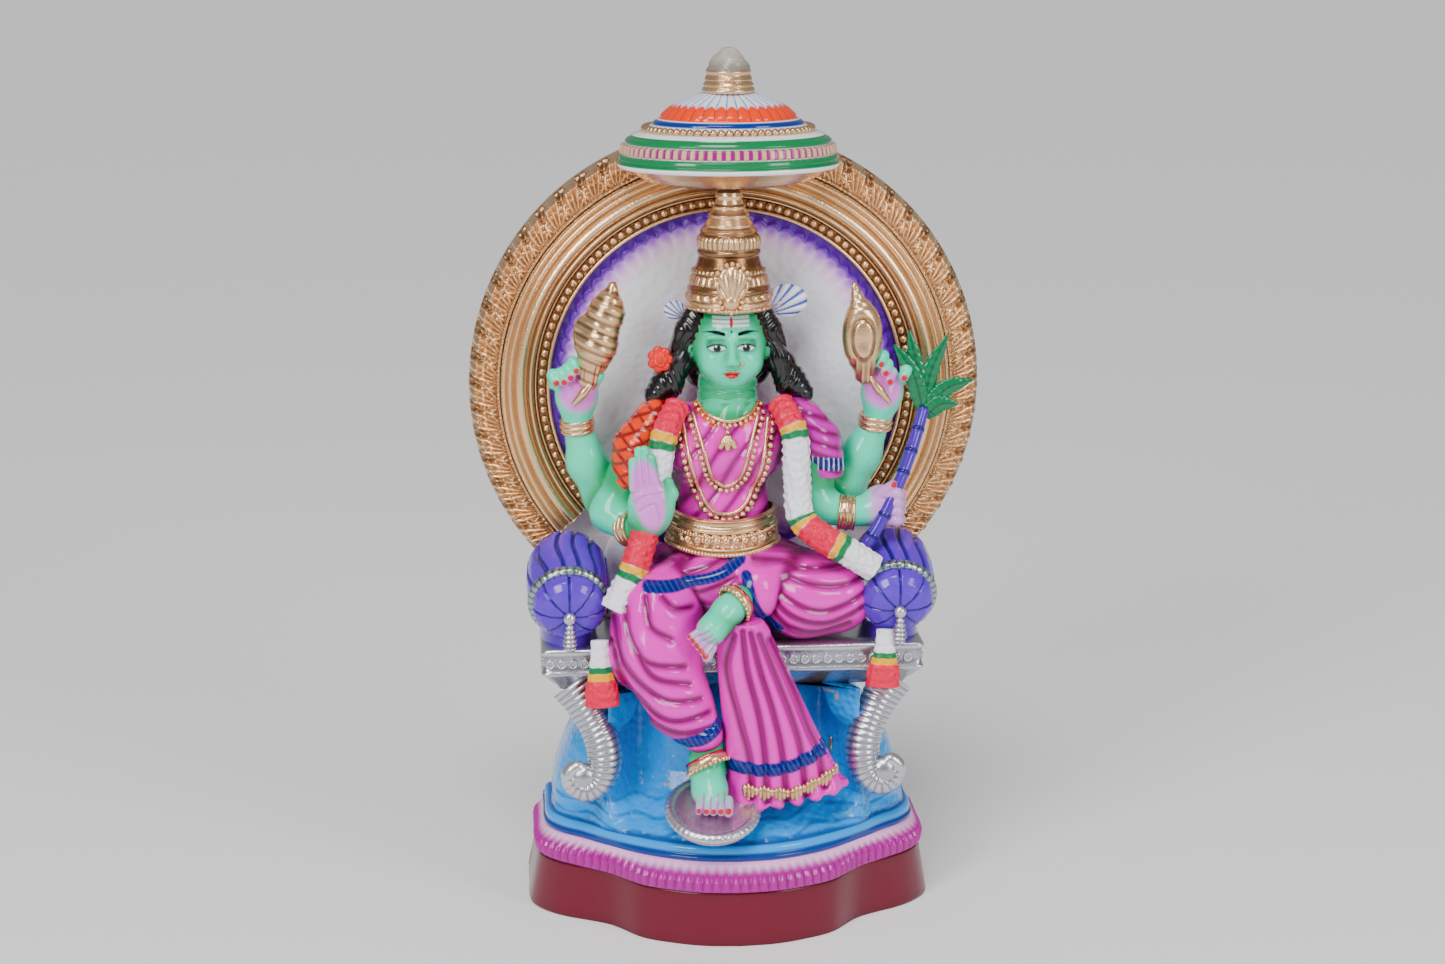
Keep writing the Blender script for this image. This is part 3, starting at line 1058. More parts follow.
head = sculpt(head_field, (-22, -17, 233), (21, 26, 289), 0.36, head_paint, head_dent)
nose_gold = [ball((4.2, front_of(head_field, 4.2, 260.6) - 0.2, 260.6), 1.0, GOLD, (1, 0.6, 1)),
             ball((3.4, front_of(head_field, 3.4, 259.2) - 0.2, 259.2), 0.6, GOLD)]
piece("head_skin", head, ENAMEL, "mint_enamel", ["head"])
piece("nose_ornament", join(nose_gold), GOLD_PAINT, "gold_paint")


def hair_dent(v, n):
    x, y, z = v.T
    flow = np.abs(x) * 1.0 - 3.0 * np.sin(z * 0.2 + 0.5) - y * 0.55 + 0.6 * np.sin(z * 0.5 + x * 0.2)
    return 0.6 * np.abs(np.sin(flow)) + 0.15 * np.sin(flow * 2.1 + z * 0.2)


hair = sculpt(hair_field, (-41, -9, 234), (41, 32, 292), 0.55, lambda v,
              n: np.broadcast_to(BLACK, v.shape), hair_dent)
piece("hair_skin", hair, HAIR_PAINT, "black_enamel", ["hair"])


def stripe(v, direction, spacing, width, offset=0.0):
    s = (v[:, 0] * direction[0] + v[:, 2] * direction[1] + offset) / spacing
    gap = np.abs(s - np.round(s)) * spacing
    return bump_line(gap, width)


def torso_lines(v):
    wavy = v + np.column_stack([0.9 * np.sin(v[:, 2] * 0.21), np.zeros(len(v)), np.zeros(len(v))])
    return stripe(wavy, (0.84, -0.55), 9.0, 1.6)


def torso_paint(v, n):
    edge = crease_mask(v, 2.2, garland_field, lap_field, path_field(ARMS["arm_front_left"]),
                       path_field(ARMS["arm_front_right"]))
    colour = mix(PINK, PINK_DEEP, np.maximum(torso_lines(v) * 0.9, edge))
    above = v[:, 2] - (233.2 + 0.041 * (v[:, 0] + 1.3) ** 2)
    front = v[:, 1] < 12
    colour = mix(colour, ORANGE, step(above, -5.5, -4.5) * step(np.abs(v[:, 0] + 1.3), 4.5, 7) * front)
    skin = mix(EMERALD, MINT, step(v[:, 2], 236, 240) * 0.5)
    return mix(colour, skin, step(above, -0.3, 0.3) * step(np.abs(v[:, 0] + 1.3), 16.5, 15) * front)


torso = sculpt(torso_field, (-40, -14, 172), (38, 30, 245), 0.6, torso_paint, lambda v,
               n: torso_lines(v) * 0.55)
piece("torso_skin", torso, ENAMEL, "pink_enamel", ["torso"])

# ---------------------------------------------------------------- the sari

LAP_FOLDS = [
    [(-36, 168), (-22, 172), (-10, 176)], [(-38, 165), (-20, 167), (-2, 173)],
    [(10, 176), (28, 174), (46, 168)], [(9, 172), (30, 170), (58, 165)],
    [(-30, 156), (-14, 159), (0, 165)],
]
LEFT_FOLDS = [
    [(-41, 159), (-39, 147), (-30, 141)], [(-33.5, 159), (-28, 154), (-20, 152.5)],
    [(-50, 156), (-49, 143), (-41.5, 131.5), (-24, 128)],
    [(-55, 148), (-51, 129), (-36, 114.5), (-17, 113)], [(-56, 137), (-50, 118), (-33, 104), (-13, 106)],
    [(-54, 124), (-43, 105), (-28, 97), (-12, 99)], [(-46, 137), (-38, 124), (-22, 120)],
]
RIGHT_FOLDS = [
    [(62, 163), (46, 160), (30, 163), (21, 166)], [(61, 156), (41, 149), (24, 155), (12, 166)],
    [(59, 149), (42, 142.5), (25, 147), (14, 158)], [(53, 141.5), (38, 137.5), (24, 141), (17, 148)],
    [(63, 169), (42, 167.5), (22, 169.5), (11, 172)],
]
PLEAT_FOLDS = [
    [(-2, 142), (-5, 126), (0, 104), (5, 84), (6, 66)],
    [(2, 144), (4, 126), (9, 106), (12, 86), (13, 64)],
    [(6, 143), (10, 126), (16, 106), (20, 87), (22, 64)],
    [(10, 142), (18, 121), (25, 102), (29, 87), (31, 66)],
    [(15, 139), (25, 116), (32, 98), (37, 86), (40, 70)],
    [(20, 136), (31, 111), (39, 93), (45, 82), (50, 72)],
]


def folds(v, lines, width):
    out = np.zeros(len(v))
    for line in lines:
        out = np.maximum(out, bump_line(line_gap(v, line), width))
    return out


def fold_dent(lines, depth, width):
    return lambda v, n: depth * folds(v, lines, width) * step(n[:, 1], 0.55, -0.1)


def border(colour, v, line, half, gold=False):
    """A navy ribbon with small upright ticks along a line."""
    gap = line_gap(v, line)
    ticks = step(np.sin((v[:, 0] + 0.6 * v[:, 2]) * 2.4), 0.5, 0.95) * 0.35
    band = step(gap, half + 0.35, half - 0.15) * (v[:, 1] < -4)
    return mix(colour, mix(NAVY, srgb(60, 96, 220), ticks), band)


HIP_BORDER = [(-40, 163), (-24, 163), (-8, 166), (3, 172.5)]
KNEE_BORDER = [(5, 166), (7, 156), (12, 147), (20, 139.5)]
ANKLE_BORDER = [(-27, 91), (-16, 94.5), (-9, 99), (-2, 106)]
HEM_BORDER = [(-3, 80.5), (10, 79), (22, 80.5), (35, 85), (50, 91)]


def cloth_paint_with(lines, *fields):
    def paint(v, n):
        edge = crease_mask(v, 1.7, *fields)
        colour = mix(PINK, PINK_DEEP, np.maximum(folds(v, lines, 1.7) * step(n[:, 1], 0.6, 0.1), edge))
        return mix(colour, PINK_DEEP, 0.55 * step(n[:, 2], -0.35, -0.9))
    return paint


def lap_paint(v, n):
    colour = cloth_paint_with(LAP_FOLDS, leg_left_field, leg_right_field, torso_field,
                              foot_raised_field)(v, n)
    colour = border(colour, v, HIP_BORDER, 2.3)
    return border(colour, v, KNEE_BORDER, 2.3)


lap = sculpt(lap_field, (-45, -34, 131), (50, 38, 180), 0.6, lap_paint,
             lambda v, n: fold_dent(LAP_FOLDS, 0.9, 1.2)(v, n) - 0.8
             * bump_line(line_gap(v, HIP_BORDER), 2.0)
             * (v[:, 1] < 0))
piece("sari_lap_skin", lap, ENAMEL, "pink_enamel", ["sari_lap"])


def leg_left_paint(v, n):
    colour = cloth_paint_with(LEFT_FOLDS, foot_raised_field, pleats_field, lap_field, foot_down_field)(v,
            n)
    colour = border(colour, v, HIP_BORDER, 2.3)
    return border(colour, v, ANKLE_BORDER, 2.9)


leg_left = sculpt(leg_left_field, (-57, -43, 84), (-2, 12, 178), 0.6, leg_left_paint, lambda v, n: (
    fold_dent(LEFT_FOLDS, 1.5, 1.6)(v, n) - 0.7 * bump_line(line_gap(v, ANKLE_BORDER), 2.7)))
piece("sari_leg_left_skin", leg_left, ENAMEL, "pink_enamel", ["sari_leg_left"])


def leg_right_paint(v, n):
    colour = cloth_paint_with(RIGHT_FOLDS, lap_field, pleats_field, garland_field)(v, n)
    return border(colour, v, KNEE_BORDER, 2.3)


leg_right = sculpt(leg_right_field, (-7, -29, 131.5), (67, 16, 174), 0.6, leg_right_paint, lambda v, n: (
    fold_dent(RIGHT_FOLDS, 1.3, 1.4)(v, n) - 0.7 * bump_line(line_gap(v, KNEE_BORDER), 2.0)
    * (v[:, 1] < 0)))
piece("sari_leg_right_skin", leg_right, ENAMEL, "pink_enamel", ["sari_leg_right"])


def pleat_dent(v, n):
    depth = fold_dent(PLEAT_FOLDS, 2.3, 1.7)(v, n)
    flare = step(v[:, 2], 76, 66)
    return depth - 0.7 * bump_line(line_gap(v, HEM_BORDER), 2.8) * (v[:, 1] < -20) - flare * (
        1.2 + 0.9 * np.sin(v[:, 0] * 0.75))


def pleats_paint(v, n):
    colour = cloth_paint_with(PLEAT_FOLDS, foot_raised_field, leg_left_field, foot_down_field)(v, n)
    return border(colour, v, HEM_BORDER, 3.0)


pleats = sculpt(pleats_field, (-10, -48, 58), (58, -14, 147), 0.6, pleats_paint, pleat_dent)
piece("sari_pleats_skin", pleats, ENAMEL, "pink_enamel", ["sari_pleats"])

ruffles = []
for start, stop, low, high in ((3, 23.5, 70.5, 69.5), (24.5, 50, 69.5, 79)):
    for x in np.arange(start, stop, 1.75):
        share = (x - start) / (stop - start)
        tall = 3.0 + 0.9 * math.sin((x - start) * 0.9)
        z = low + (high - low) * share - 0.35 * tall
        ruffles.append(ball((x, front_of(pleats_field, x, z + 2) - 1.4, z), 1.0,
                            mix(GOLD, GOLD_DARK, 0.25 * rng.random()), (1.25, 1.7, tall), 16, 18))
piece("sari_hem_gold", join(ruffles), GOLD_PAINT, "gold_paint")

# ---------------------------------------------------------------- skin: feet, arms, hands

def nails(colour, v, tips, radius=1.5):
    for tip in tips:
        colour = mix(colour, RED,
                     step(np.linalg.norm((v - np.array(tip)) * (1, 1, 1.0), axis=1), radius + 0.25,
                          radius - 0.2))
    return colour


def skin_paint(fields, lilac=None, tips=(), extra=None, toe_gaps=()):
    def paint(v, n):
        shade = crease_mask(v, 4.4, *fields)
        if extra is not None:
            shade = np.maximum(shade, extra(v, n))
        colour = mix(MINT, EMERALD, shade)
        if lilac is not None:
            colour = mix(colour, LILAC, lilac(v, n))
        for line in toe_gaps:
            colour = mix(colour, MAUVE, 0.75 * step(line_gap(v, line), 0.7, 0.25) * (n[:, 1] < 0.3))
        return nails(colour, v, tips)
    return paint


raised_gaps = [[(-21.6 + 5.5 * t + 2 * t, 143.6 - 9.1 * t), (-14.2 + 5.5 * t, 148 - 7.5 * t)]
               for t in (0.125, 0.375, 0.625, 0.875)]
raised_tips = [(-17.5 + 5.5 * k / 4 - 5.4 + 2 * k / 4, -45.8 - 1.5 * k / 4,
                144.4 - 7.5 * k / 4 - 1.6 * k / 4) for k in range(5)]
foot_raised = sculpt(foot_raised_field, (-27, -52, 128), (13, -16, 168), 0.42, skin_paint(
    [lap_field, pleats_field, leg_left_field], lambda v,
    n: step(v[:, 0] + 0.9 * (v[:, 2] - 145), -10, -20) * 0.75,
    raised_tips, toe_gaps=raised_gaps))
piece("foot_raised_skin", foot_raised, ENAMEL, "mint_enamel", ["foot_raised"])
down_gaps = [[(-18.6 + 3.3 * k, 60), (-17.6 + 3.1 * k, 71)] for k in (0.5, 1.5, 2.5, 3.5)]
down_tips = [(-18.6 + 3.3 * k, -52.2 - (0, 0.9, 1.4, 1.6, 1.8)[k], 64.4) for k in range(5)]
foot_down = sculpt(foot_down_field, (-24, -56, 58), (-3, -20, 101), 0.42, skin_paint(
    [leg_left_field, pleats_field], lambda v, n: step(v[:, 2], 72, 64) * 0.7, down_tips,
    lambda v, n: 0.6 * step(v[:, 2], 74, 82), down_gaps))
piece("foot_down_skin", foot_down, ENAMEL, "mint_enamel", ["foot_down"])

HAND_WORK = {
    "hand_rear_left": (hand_rear_left_field, (-84, -4, 224), (-55, 21, 264), lambda v, n: step(
        np.hypot((v[:, 0] + 69) / 10, (v[:, 2] - 246) / 10), 1.15, 0.7) * step(v[:, 1], 9, 4),
        [(-79.2, 0.4, 251), (-75.6, -1.4, 251.6), (-72.6, -1.4, 253.6), (-70, -0.6, 256.6),
         (-62, -1.6, 258)]),
    "hand_rear_right": (hand_rear_right_field, (56, -4, 223), (86, 21, 264), lambda v, n: step(
        np.hypot((v[:, 0] - 70) / 10, (v[:, 2] - 246) / 10), 1.15, 0.7) * step(v[:, 1], 9, 4),
        [(79.4, 0.4, 251), (72.6, -1.4, 249.6), (70.6, -1.4, 253.6), (68.6, -0.6, 257.6),
         (61.5, -1.6, 257.5)]),
    "hand_front_left": (hand_front_left_field, (-52, -24, 175), (-24, 2, 228), lambda v, n: step(
        np.hypot((v[:, 0] + 38.5 + (v[:, 2] - 200) * 0.16) / 7.6, (v[:, 2] - 203) / 17), 1.15, 0.75)
        * step(n[:, 1], 0.1, -0.5), []),
    "hand_front_right": (hand_front_right_field, (48, -16, 180), (82, 7, 208), lambda v,
                         n: step(v[:, 0], 60, 66) * 0.85,
                         [(77.4, -10, 199.2 - 4.1 * k) for k in range(4)] + [(73.4, -13.4, 204.4)]),
}
PALM_LINES = [
    [(-46, 200), (-40, 203), (-33, 204)], [(-33, 192), (-36, 199), (-43, 196)],
    [(-43.4, 205), (-44, 212), (-44.3, 220)], [(-40.3, 205), (-41, 213), (-41.7, 223)],
    [(-37, 205), (-38, 212), (-38.8, 221)]]
for name, (field, low, high, lilac, tips) in HAND_WORK.items():
    lines = PALM_LINES if name == "hand_front_left" else []
    geo = sculpt(field, low, high, 0.4, skin_paint([torso_field, garland_field], lilac, tips),
                 (lambda v, n: 0.9 * folds(v, PALM_LINES, 0.6) * (v[:, 1] < -16)) if lines else None)
    piece(f"{name}_skin", geo, ENAMEL, "mint_enamel", [name])

for name, spec in ARMS.items():
    points = np.array(spec[0])
    reach = max(spec[1]) + 1
    others = [garland_field, torso_field] + [path_field(SLEEVES[s]) for s in SLEEVES]
    if "rear" in name:
        others += [path_field(ARMS["arm_front_left"]), path_field(ARMS["arm_front_right"])]
    elbow = points[1] if "rear" in name else points[2]
    inner = lambda v, n, e=elbow: 0.8 * step(np.linalg.norm(v - e, axis=1), 12, 7) * step(n[:, 2], 0.1,
            0.8)
    geo = sculpt(path_field(spec), points.min(0) - reach, points.max(0) + reach, 0.6,
                 skin_paint(others, extra=inner))
    piece(f"{name}_skin", geo, ENAMEL, "mint_enamel", [name])


def sleeve_left_paint(v, n):
    a = v[:, 0] * 0.8 + v[:, 2] * 0.6
    b = v[:, 2] * 0.9 - v[:, 0] * 0.35
    lines = np.maximum(bump_line(np.abs((a / 6) - np.round(a / 6)) * 6, 0.75),
                       bump_line(np.abs((b / 5.4) - np.round(b / 5.4)) * 5.4, 0.75))
    colour = mix(ORANGE, srgb(110, 10, 24), lines * 0.95)
    return mix(colour, srgb(110, 10, 24), crease_mask(v, 1.2, garland_field))


def sleeve_right_paint(v, n):
    colour = mix(np.array((0.62, 0.0, 0.46)), PINK_DEEP, stripe(v, (0.35, 0.94), 5.2, 1.3))
    colour = mix(colour, PINK_DEEP, crease_mask(v, 1.6, garland_field, torso_field))
    band = step(np.abs(v[:, 2] + 0.15 * v[:, 0] - 219.5), 3.2, 2.7)
    beads = mix(NAVY, WHITE, step(np.sin(v[:, 0] * 2.6), 0.55, 0.95) * 0.8)
    colour = mix(colour, beads, band)
    return mix(colour, PINK, step(v[:, 2] + 0.15 * v[:, 0], 214.5, 213))


for name, paint in (("sleeve_left", sleeve_left_paint), ("sleeve_right", sleeve_right_paint)):
    spec = SLEEVES[name]
    points = np.array(spec[0])
    cuff = points[-1]
    geo = sculpt(lambda p, s=spec, c=cuff: np.maximum(limb(p, s[0], s[1], 3), (c[2] - 4) - p[2]),
                 points.min(0) - 13, points.max(0) + 13, 0.5, paint,
                 lambda v, n: 0.35 * stripe(v, (0.35, 0.94), 5.2, 1.0))
    piece(f"{name}_skin", geo, ENAMEL, "orange_enamel" if "left" in name else "pink_enamel", [name])

# ---------------------------------------------------------------- jewellery

def gold_shade(depth):
    return mix(GOLD, GOLD_DARK, depth)


def hoop(centre, radius, thick, axis, squash=1.0, turns=64, sides=16):
    """A ring with a row of beads round its outside; axis is the way through it."""
    axis = np.array(axis, float) / np.linalg.norm(axis)
    u = np.cross(axis, (0, 0, 1.0))
    u /= np.linalg.norm(u)
    w = np.cross(axis, u)
    aa, bb = np.meshgrid(np.arange(turns) / turns * TAU, np.arange(sides) / sides * TAU, indexing="ij")
    ring = np.cos(aa)[..., None] * u + np.sin(aa)[..., None] * w
    rr = (radius + thick * 0.55 * np.cos(bb) * (1 + 0.08 * np.sin(aa * 24)))[..., None]
    verts = np.array(centre) + ring * rr + (thick * squash * np.sin(bb))[..., None] * axis
    faces = grid_faces(turns, sides, wrap_cols=True)
    last = np.stack([np.full(sides, turns - 1) * sides + np.arange(sides),
                     (turns - 1) * sides + (np.arange(sides) + 1) % sides, (np.arange(sides) + 1) % sides,
                     np.arange(sides)], -1)
    parts = [(verts.reshape(-1, 3), np.vstack([faces, last])[:, ::-1],
              gold_shade(0.6 * step(np.cos(bb), -0.2, -1)).reshape(-1, 3))]
    return parts, u, w, axis


def beaded_hoop(centre, radius, thick, axis, squash, bead, lining=None):
    """A hoop with beads along one rim, and a thin painted lining inside the other."""
    parts, u, w, axis = hoop(centre, radius, thick, axis, squash)
    count = int(TAU * radius / (bead * 1.95))
    for k in range(count):
        a = k / count * TAU
        at = np.array(centre) + (np.cos(a) * u + np.sin(a) * w) * (radius + thick
                                                                   * 0.5) - axis * thick * squash * 0.8
        parts.append(ball(at, bead, GOLD))
    if lining is not None:
        rim, *_ = hoop(np.array(centre) + axis * thick * squash * 0.9, radius + 0.3, thick * 0.4, axis,
                       1.0)
        parts.append((rim[0][0], rim[0][1], lining))
    return parts


def bangle(centre, radius, width, axis):
    """A broad chased bangle with thick rims."""
    parts = []
    axis_v = np.array(axis, float) / np.linalg.norm(axis)
    for shift, thick, size in ((0, 1.2, width), (-width * 0.95, 1.7, 1.0), (width * 0.95, 1.7, 1.0),
                               (0, 2.1, 1.1)):
        ring, *_ = hoop(np.array(centre) + axis_v * shift, radius, thick, axis, size / thick)
        parts += ring
    return parts


piece("bangles_rear_skin", join(bangle((-69.6, 12.4, 229.5), 7.0, 2.6, (-0.1, -0.15, 1)) + bangle(
    (67.9, 12.4, 229), 7.0, 2.6, (0.1, -0.15, 1))), GOLD_PAINT, "gold_paint", ["bangles_rear"])
piece("bangles_front_skin", join(bangle((-46.6, -5.2, 184.4), 7.4, 2.6, (0.8, -0.8, 0.35)) + bangle(
    (53, -2.4, 189.3), 7.4, 3.2, (1, -0.1, -0.05))), GOLD_PAINT, "gold_paint", ["bangles_front"])
piece("anklets_skin", join(beaded_hoop((0.2, -29.2, 154.8), 7.8, 2.1, (0.72, 0.5, 0.42), 1.0, 1.1,
                                       CORAL * 0.7) + beaded_hoop(
    (-13.4, -32.4, 80), 8.9, 2.3, (-0.36, 0.42, 0.82), 1.0, 1.1, CORAL * 0.7)), GOLD_PAINT, "gold_paint",
      ["anklets"])


def necklace(line, lift, radius, bead, outward, step_out):
    """A plain inner cord of gold, with a row of beads outside it."""
    lying = draped(torso_field, line, lift, 46)
    parts = [tube(lying, [radius] * 4, GOLD, sides=12, count=120)]
    outer = np.array([(x + dx * step_out, z + dz * step_out) for (x, _, z),
                      (dx, dz) in zip(lying, outward(lying))])
    length = np.linalg.norm(np.diff(outer, axis=0), axis=1).sum()
    for x, z in smooth_line(outer, int(length / (bead * 2.02))):
        y = front_of(torso_field, x, z)
        parts.append(ball((x, y - bead * 0.45, z), bead * (0.94 + 0.12 * rng.random()), GOLD))
    return parts


def away(middle):
    def outward(lying):
        line = np.array([(x, z) for x, _, z in lying])
        tangent = np.gradient(line, axis=0)
        normal = np.stack([tangent[:, 1], -tangent[:, 0]], -1)
        normal /= np.linalg.norm(normal, axis=1)[:, None] + 1e-9
        flip = np.sign(((line - np.array(middle)) * normal).sum(1))
        return normal * flip[:, None]
    return outward


choker = necklace([(-14.5, 241), (-11, 236.6), (-1.3, 233.6), (8.6, 236.6), (12.4, 241)], 0.3, 0.9, 1.15,
                  away((-1.3, 245)), 1.9)
piece("necklace_choker_skin", join(choker), GOLD_PAINT, "gold_paint", ["necklace_choker"])
short = necklace([(-17.5, 237), (-13, 221), (-9, 208), (-2.6, 203.4), (3.6, 208), (7.6, 221),
                  (12.6, 237)], 0.3, 0.85, 1.3,
                 away((-2.6, 226)), 2.3)
pendant = []
for x, z, lean in ((-5.2, 223.4, -0.5), (-2.4, 222.6, 0), (0.4, 223.4, 0.5)):
    y = front_of(torso_field, x, z)
    pendant.append(tube([(-2.4 + lean, y - 1.4, 228), (x, y - 1.6, z), (x + lean, y - 1.2, z - 1.6)],
                        [0.5, 1.7, 1.2], GOLD,
                        sides=14, count=24))
y_top = front_of(torso_field, -2.4, 229)
pendant += [ball((-2.4, y_top - 0.9, 228.8), 1.3, GOLD), ball((-2.4, y_top - 0.9, 231), 0.9, GOLD)]
piece("necklace_short_skin", join(short + pendant), GOLD_PAINT, "gold_paint", ["necklace_short"])
long = necklace([(-22.5, 235), (-18.5, 213), (-11.5, 195.5), (-2.7, 190.5), (6.4, 195.5), (13, 213),
                 (17, 235)], 0.3, 0.95, 1.5,
                away((-2.7, 220)), 2.6)
piece("necklace_long_skin", join(long), GOLD_PAINT, "gold_paint", ["necklace_long"])


def waist_ring(z):
    """Centre y, half width and half depth of the belt at a height."""
    return np.interp(z, (175, 181, 188, 190), (25, 24, 23.2, 24)), np.interp(z, (175, 181, 188, 190),
            (23.6, 21.8, 19.6, 20))


belt_rows = dense([(174.6, -0.4), (175.2, 0.6), (177, 0.6), (177.6, 1.6), (178.4, 1.8), (179.2, 0.4),
                   (184.4, 0.4), (185, 1.5), (186.4, 1.9), (187.4, 0.9), (189.4, 0.5), (190.6, 1.4),
                   (191.2, -0.8)], 0.35)
bz = np.array([r[0] for r in belt_rows])
bo = np.array([r[1] for r in belt_rows])
hw, hd = waist_ring(bz)
BELT_SEGMENTS = int(420 / FINE)
turn = np.arange(BELT_SEGMENTS) / BELT_SEGMENTS * TAU
zz, aa = np.meshgrid(bz, turn, indexing="ij")
scroll = np.where((zz > 179.2) & (zz < 184.6), np.sin(aa * 34 + 0.9 * np.sin(zz * 1.6)) * 0.6 + 0.3, 0)
sag = -2.6 * np.clip(-np.sin(aa), 0, 1) ** 2
belt = (np.stack([-3.3 + (hw + bo)[:, None] * np.cos(aa) + scroll * np.cos(aa),
                  8.5 + (hd + bo)[:, None] * np.sin(aa) + scroll * np.sin(aa), zz + sag], -1).reshape(-1,
                          3),
        grid_faces(len(bz), BELT_SEGMENTS, wrap_cols=True),
        gold_shade(step(scroll, 0.1, -0.4) * 0.8).reshape(-1, 3))
belt_parts = [belt]
for level, grow, size in ((183.4, 1.1, 1.05), (175.8, 0.9, 1.3)):
    w, d = waist_ring(level)
    for k in range(100):
        a = k / 100 * TAU
        belt_parts.append(ball((-3.3 + (w + grow) * math.cos(a), 8.5 + (d + grow) * math.sin(a),
                                level - 2.6 * max(-math.sin(a), 0) ** 2), size, GOLD, rows=8, cols=10))
for k in range(9):
    x = -3.3 + (k - 4) * 4.3
    y = 8.5 - (waist_ring(180)[1] + 1.2) * math.sqrt(1 - ((x + 3.3) / 25) ** 2)
    belt_parts.append(ball((x, y, 179.4), 1.9, GOLD, (1, 0.6, 1)))
piece("waist_belt_skin", join(belt_parts), GOLD_PAINT, "gold_paint", ["waist_belt"])

# ---------------------------------------------------------------- crown, ornaments, attributes

crown_profile = dense([
    (16.5, 283.4), (19.2, 283.5), (19.9, 284.4), (19.9, 285.2), (19.2, 285.8), (19.8, 286.4),
    (19.8, 287.4), (19.2, 288), (19.5, 289), (19.3, 290), (18.8, 291.8), (19, 292.6), (18.7, 293.8),
    (17.8, 294.6), (17.3, 297), (16.4, 299.6), (16.7, 300.6), (16.2, 301.8), (15.2, 302.8), (14.5, 304.6),
    (13.9, 306.8), (13.7, 307.8), (14.3, 308.6), (14.4, 309.8), (13.9, 310.6), (13.9, 312.6), (14, 314.8),
    (13.5, 316.8), (12.9, 317.6), (13, 318.8), (12, 320), (10.9, 320.8), (11, 321.8), (10, 323.4),
    (9.1, 325), (9.4, 326), (8.3, 327.2), (7.4, 328.6), (7.6, 329.8), (6.6, 330.8), (5.9, 332.8),
    (6.2, 334.4), (5.8, 336.2), (4.4, 338), (2, 338.8), (0.1, 338.9)], 0.3)


def crown_chase(a, r, z):
    """Chased leaves on the two broad bands and fluting on the flare."""
    low_band = step(z, 288, 289) * step(z, 291.6, 290.8) * np.abs(np.sin(a * 12 + 0.5 * np.sin(z)))
    mid_band = step(z, 294.8, 295.6) * step(z, 299.6, 298.6) * np.abs(np.sin(a * 15))
    flare = step(z, 311, 312) * step(z, 317, 316) * np.abs(np.sin(a * 17))
    beads = (step(np.abs(z - 284.8), 0.9, 0.4) + step(np.abs(z - 301), 1.2, 0.5)) * (0.5 + 0.5
            * np.cos(a * 44))
    return 0.9 * low_band + 0.7 * mid_band + 0.6 * flare + 0.5 * beads


crown_geo = lathe(crown_profile, (-0.5, 7), lambda a, r, z: gold_shade(
    0.85 * step(crown_chase(a, r, z), 0.35, 0.0) * step(z, 287.6, 288) * step(z, 320, 318) + 0.35
    * step(z, 307.6, 305.6) * step(z, 303, 305)),
    int(520 / FINE), wave=crown_chase)
crown_parts = [crown_geo]
crest = ball((-0.5, -12.2, 297), 1.0, GOLD, (7.4, 2.4, 8.2), int(60 / FINE), int(90 / FINE))
cv = crest[0].copy()
fan = np.arctan2(cv[:, 0] + 0.5, cv[:, 2] - 287)
cv[:, 1] -= 0.9 * np.abs(np.cos(fan * 9)) * (cv[:, 1] < -12.4)
crown_parts.append((cv, crest[1], gold_shade(0.7 * step(np.abs(np.cos(fan * 9)), 0.4, 0.0))))
crown_parts.append(ball((-1, -12.4, 289), 3.8, GOLD, (1, 0.7, 1), 16, 24))
for k in range(12):
    a = k / 12 * TAU
    crown_parts.append(ball((-1 + 4.9 * math.cos(a), -13, 289 + 4.9 * math.sin(a)), 1.05, GOLD))
for k in range(9):
    a = math.pi * (0.08 + 0.84 * k / 8)
    crown_parts.append(ball((-0.5 + 7.9 * math.cos(a), -12.6, 297.5 + 8.7 * math.sin(a)), 1.15, GOLD))
piece("crown_skin", join(crown_parts), GOLD_PAINT, "gold_paint", ["crown"])

ornament_parts = []
for ringed, size, reach in ((7, 2.4, 3.6), (5, 2.0, 1.7), (1, 1.6, 0)):
    for k in range(ringed):
        a = k / ringed * TAU
        ornament_parts.append(ball((-32 + reach * math.cos(a), 4.8 - (3.6 - reach) * 0.6,
                                    260.5 + 1.1 * reach * math.sin(a)),
                                   size, mix(srgb(226, 24, 24), ORANGE, 0.4 if ringed == 5 else 0.0),
                                   (1, 0.7, 1), 14, 18))
for side, cx, cy, cz, w, h in ((-1, -24.5, 17, 281, 5, 4.5), (1, 27, 17, 285, 9.5, 7.5)):
    bow = ball((cx, cy, cz), 1.0, WHITE, (w, 2.2, h), int(40 / FINE), int(70 / FINE))
    bv = bow[0].copy()
    fan = np.arctan2(bv[:, 2] - cz + h * 0.9, (bv[:, 0] - cx) * side + w)
    bv[:, 1] += 0.7 * np.sin(fan * 24)
    ornament_parts.append((bv, bow[1], mix(WHITE, srgb(40, 70, 200), step(np.sin(fan * 24), 0.1, 0.9))))
piece("hair_ornaments_skin", join(ornament_parts), ENAMEL, "ornament_paint", ["hair_ornaments"])


def attribute_left_field(p):
    d = limb(p, [(-64.5, 4, 252), (-60.5, 3, 268), (-56, 3, 283), (-53, 3, 295)], [5, 8.4, 7.4, 2.2], 6)
    return blend(d, ellip(p, (-66, 4, 273), (5.5, 4.6, 8.5)), 3)


def attribute_left_dent(v, n):
    along = (v[:, 2] - 252) + 0.42 * (v[:, 0] + 60)
    return 0.5 * np.abs(np.sin(along * 0.62)) * step(v[:, 2], 258,
                                                     264) + 0.25 * np.sin(v[:, 0] * 2.4 + v[:, 1]) * step(
        v[:, 2], 262, 256)


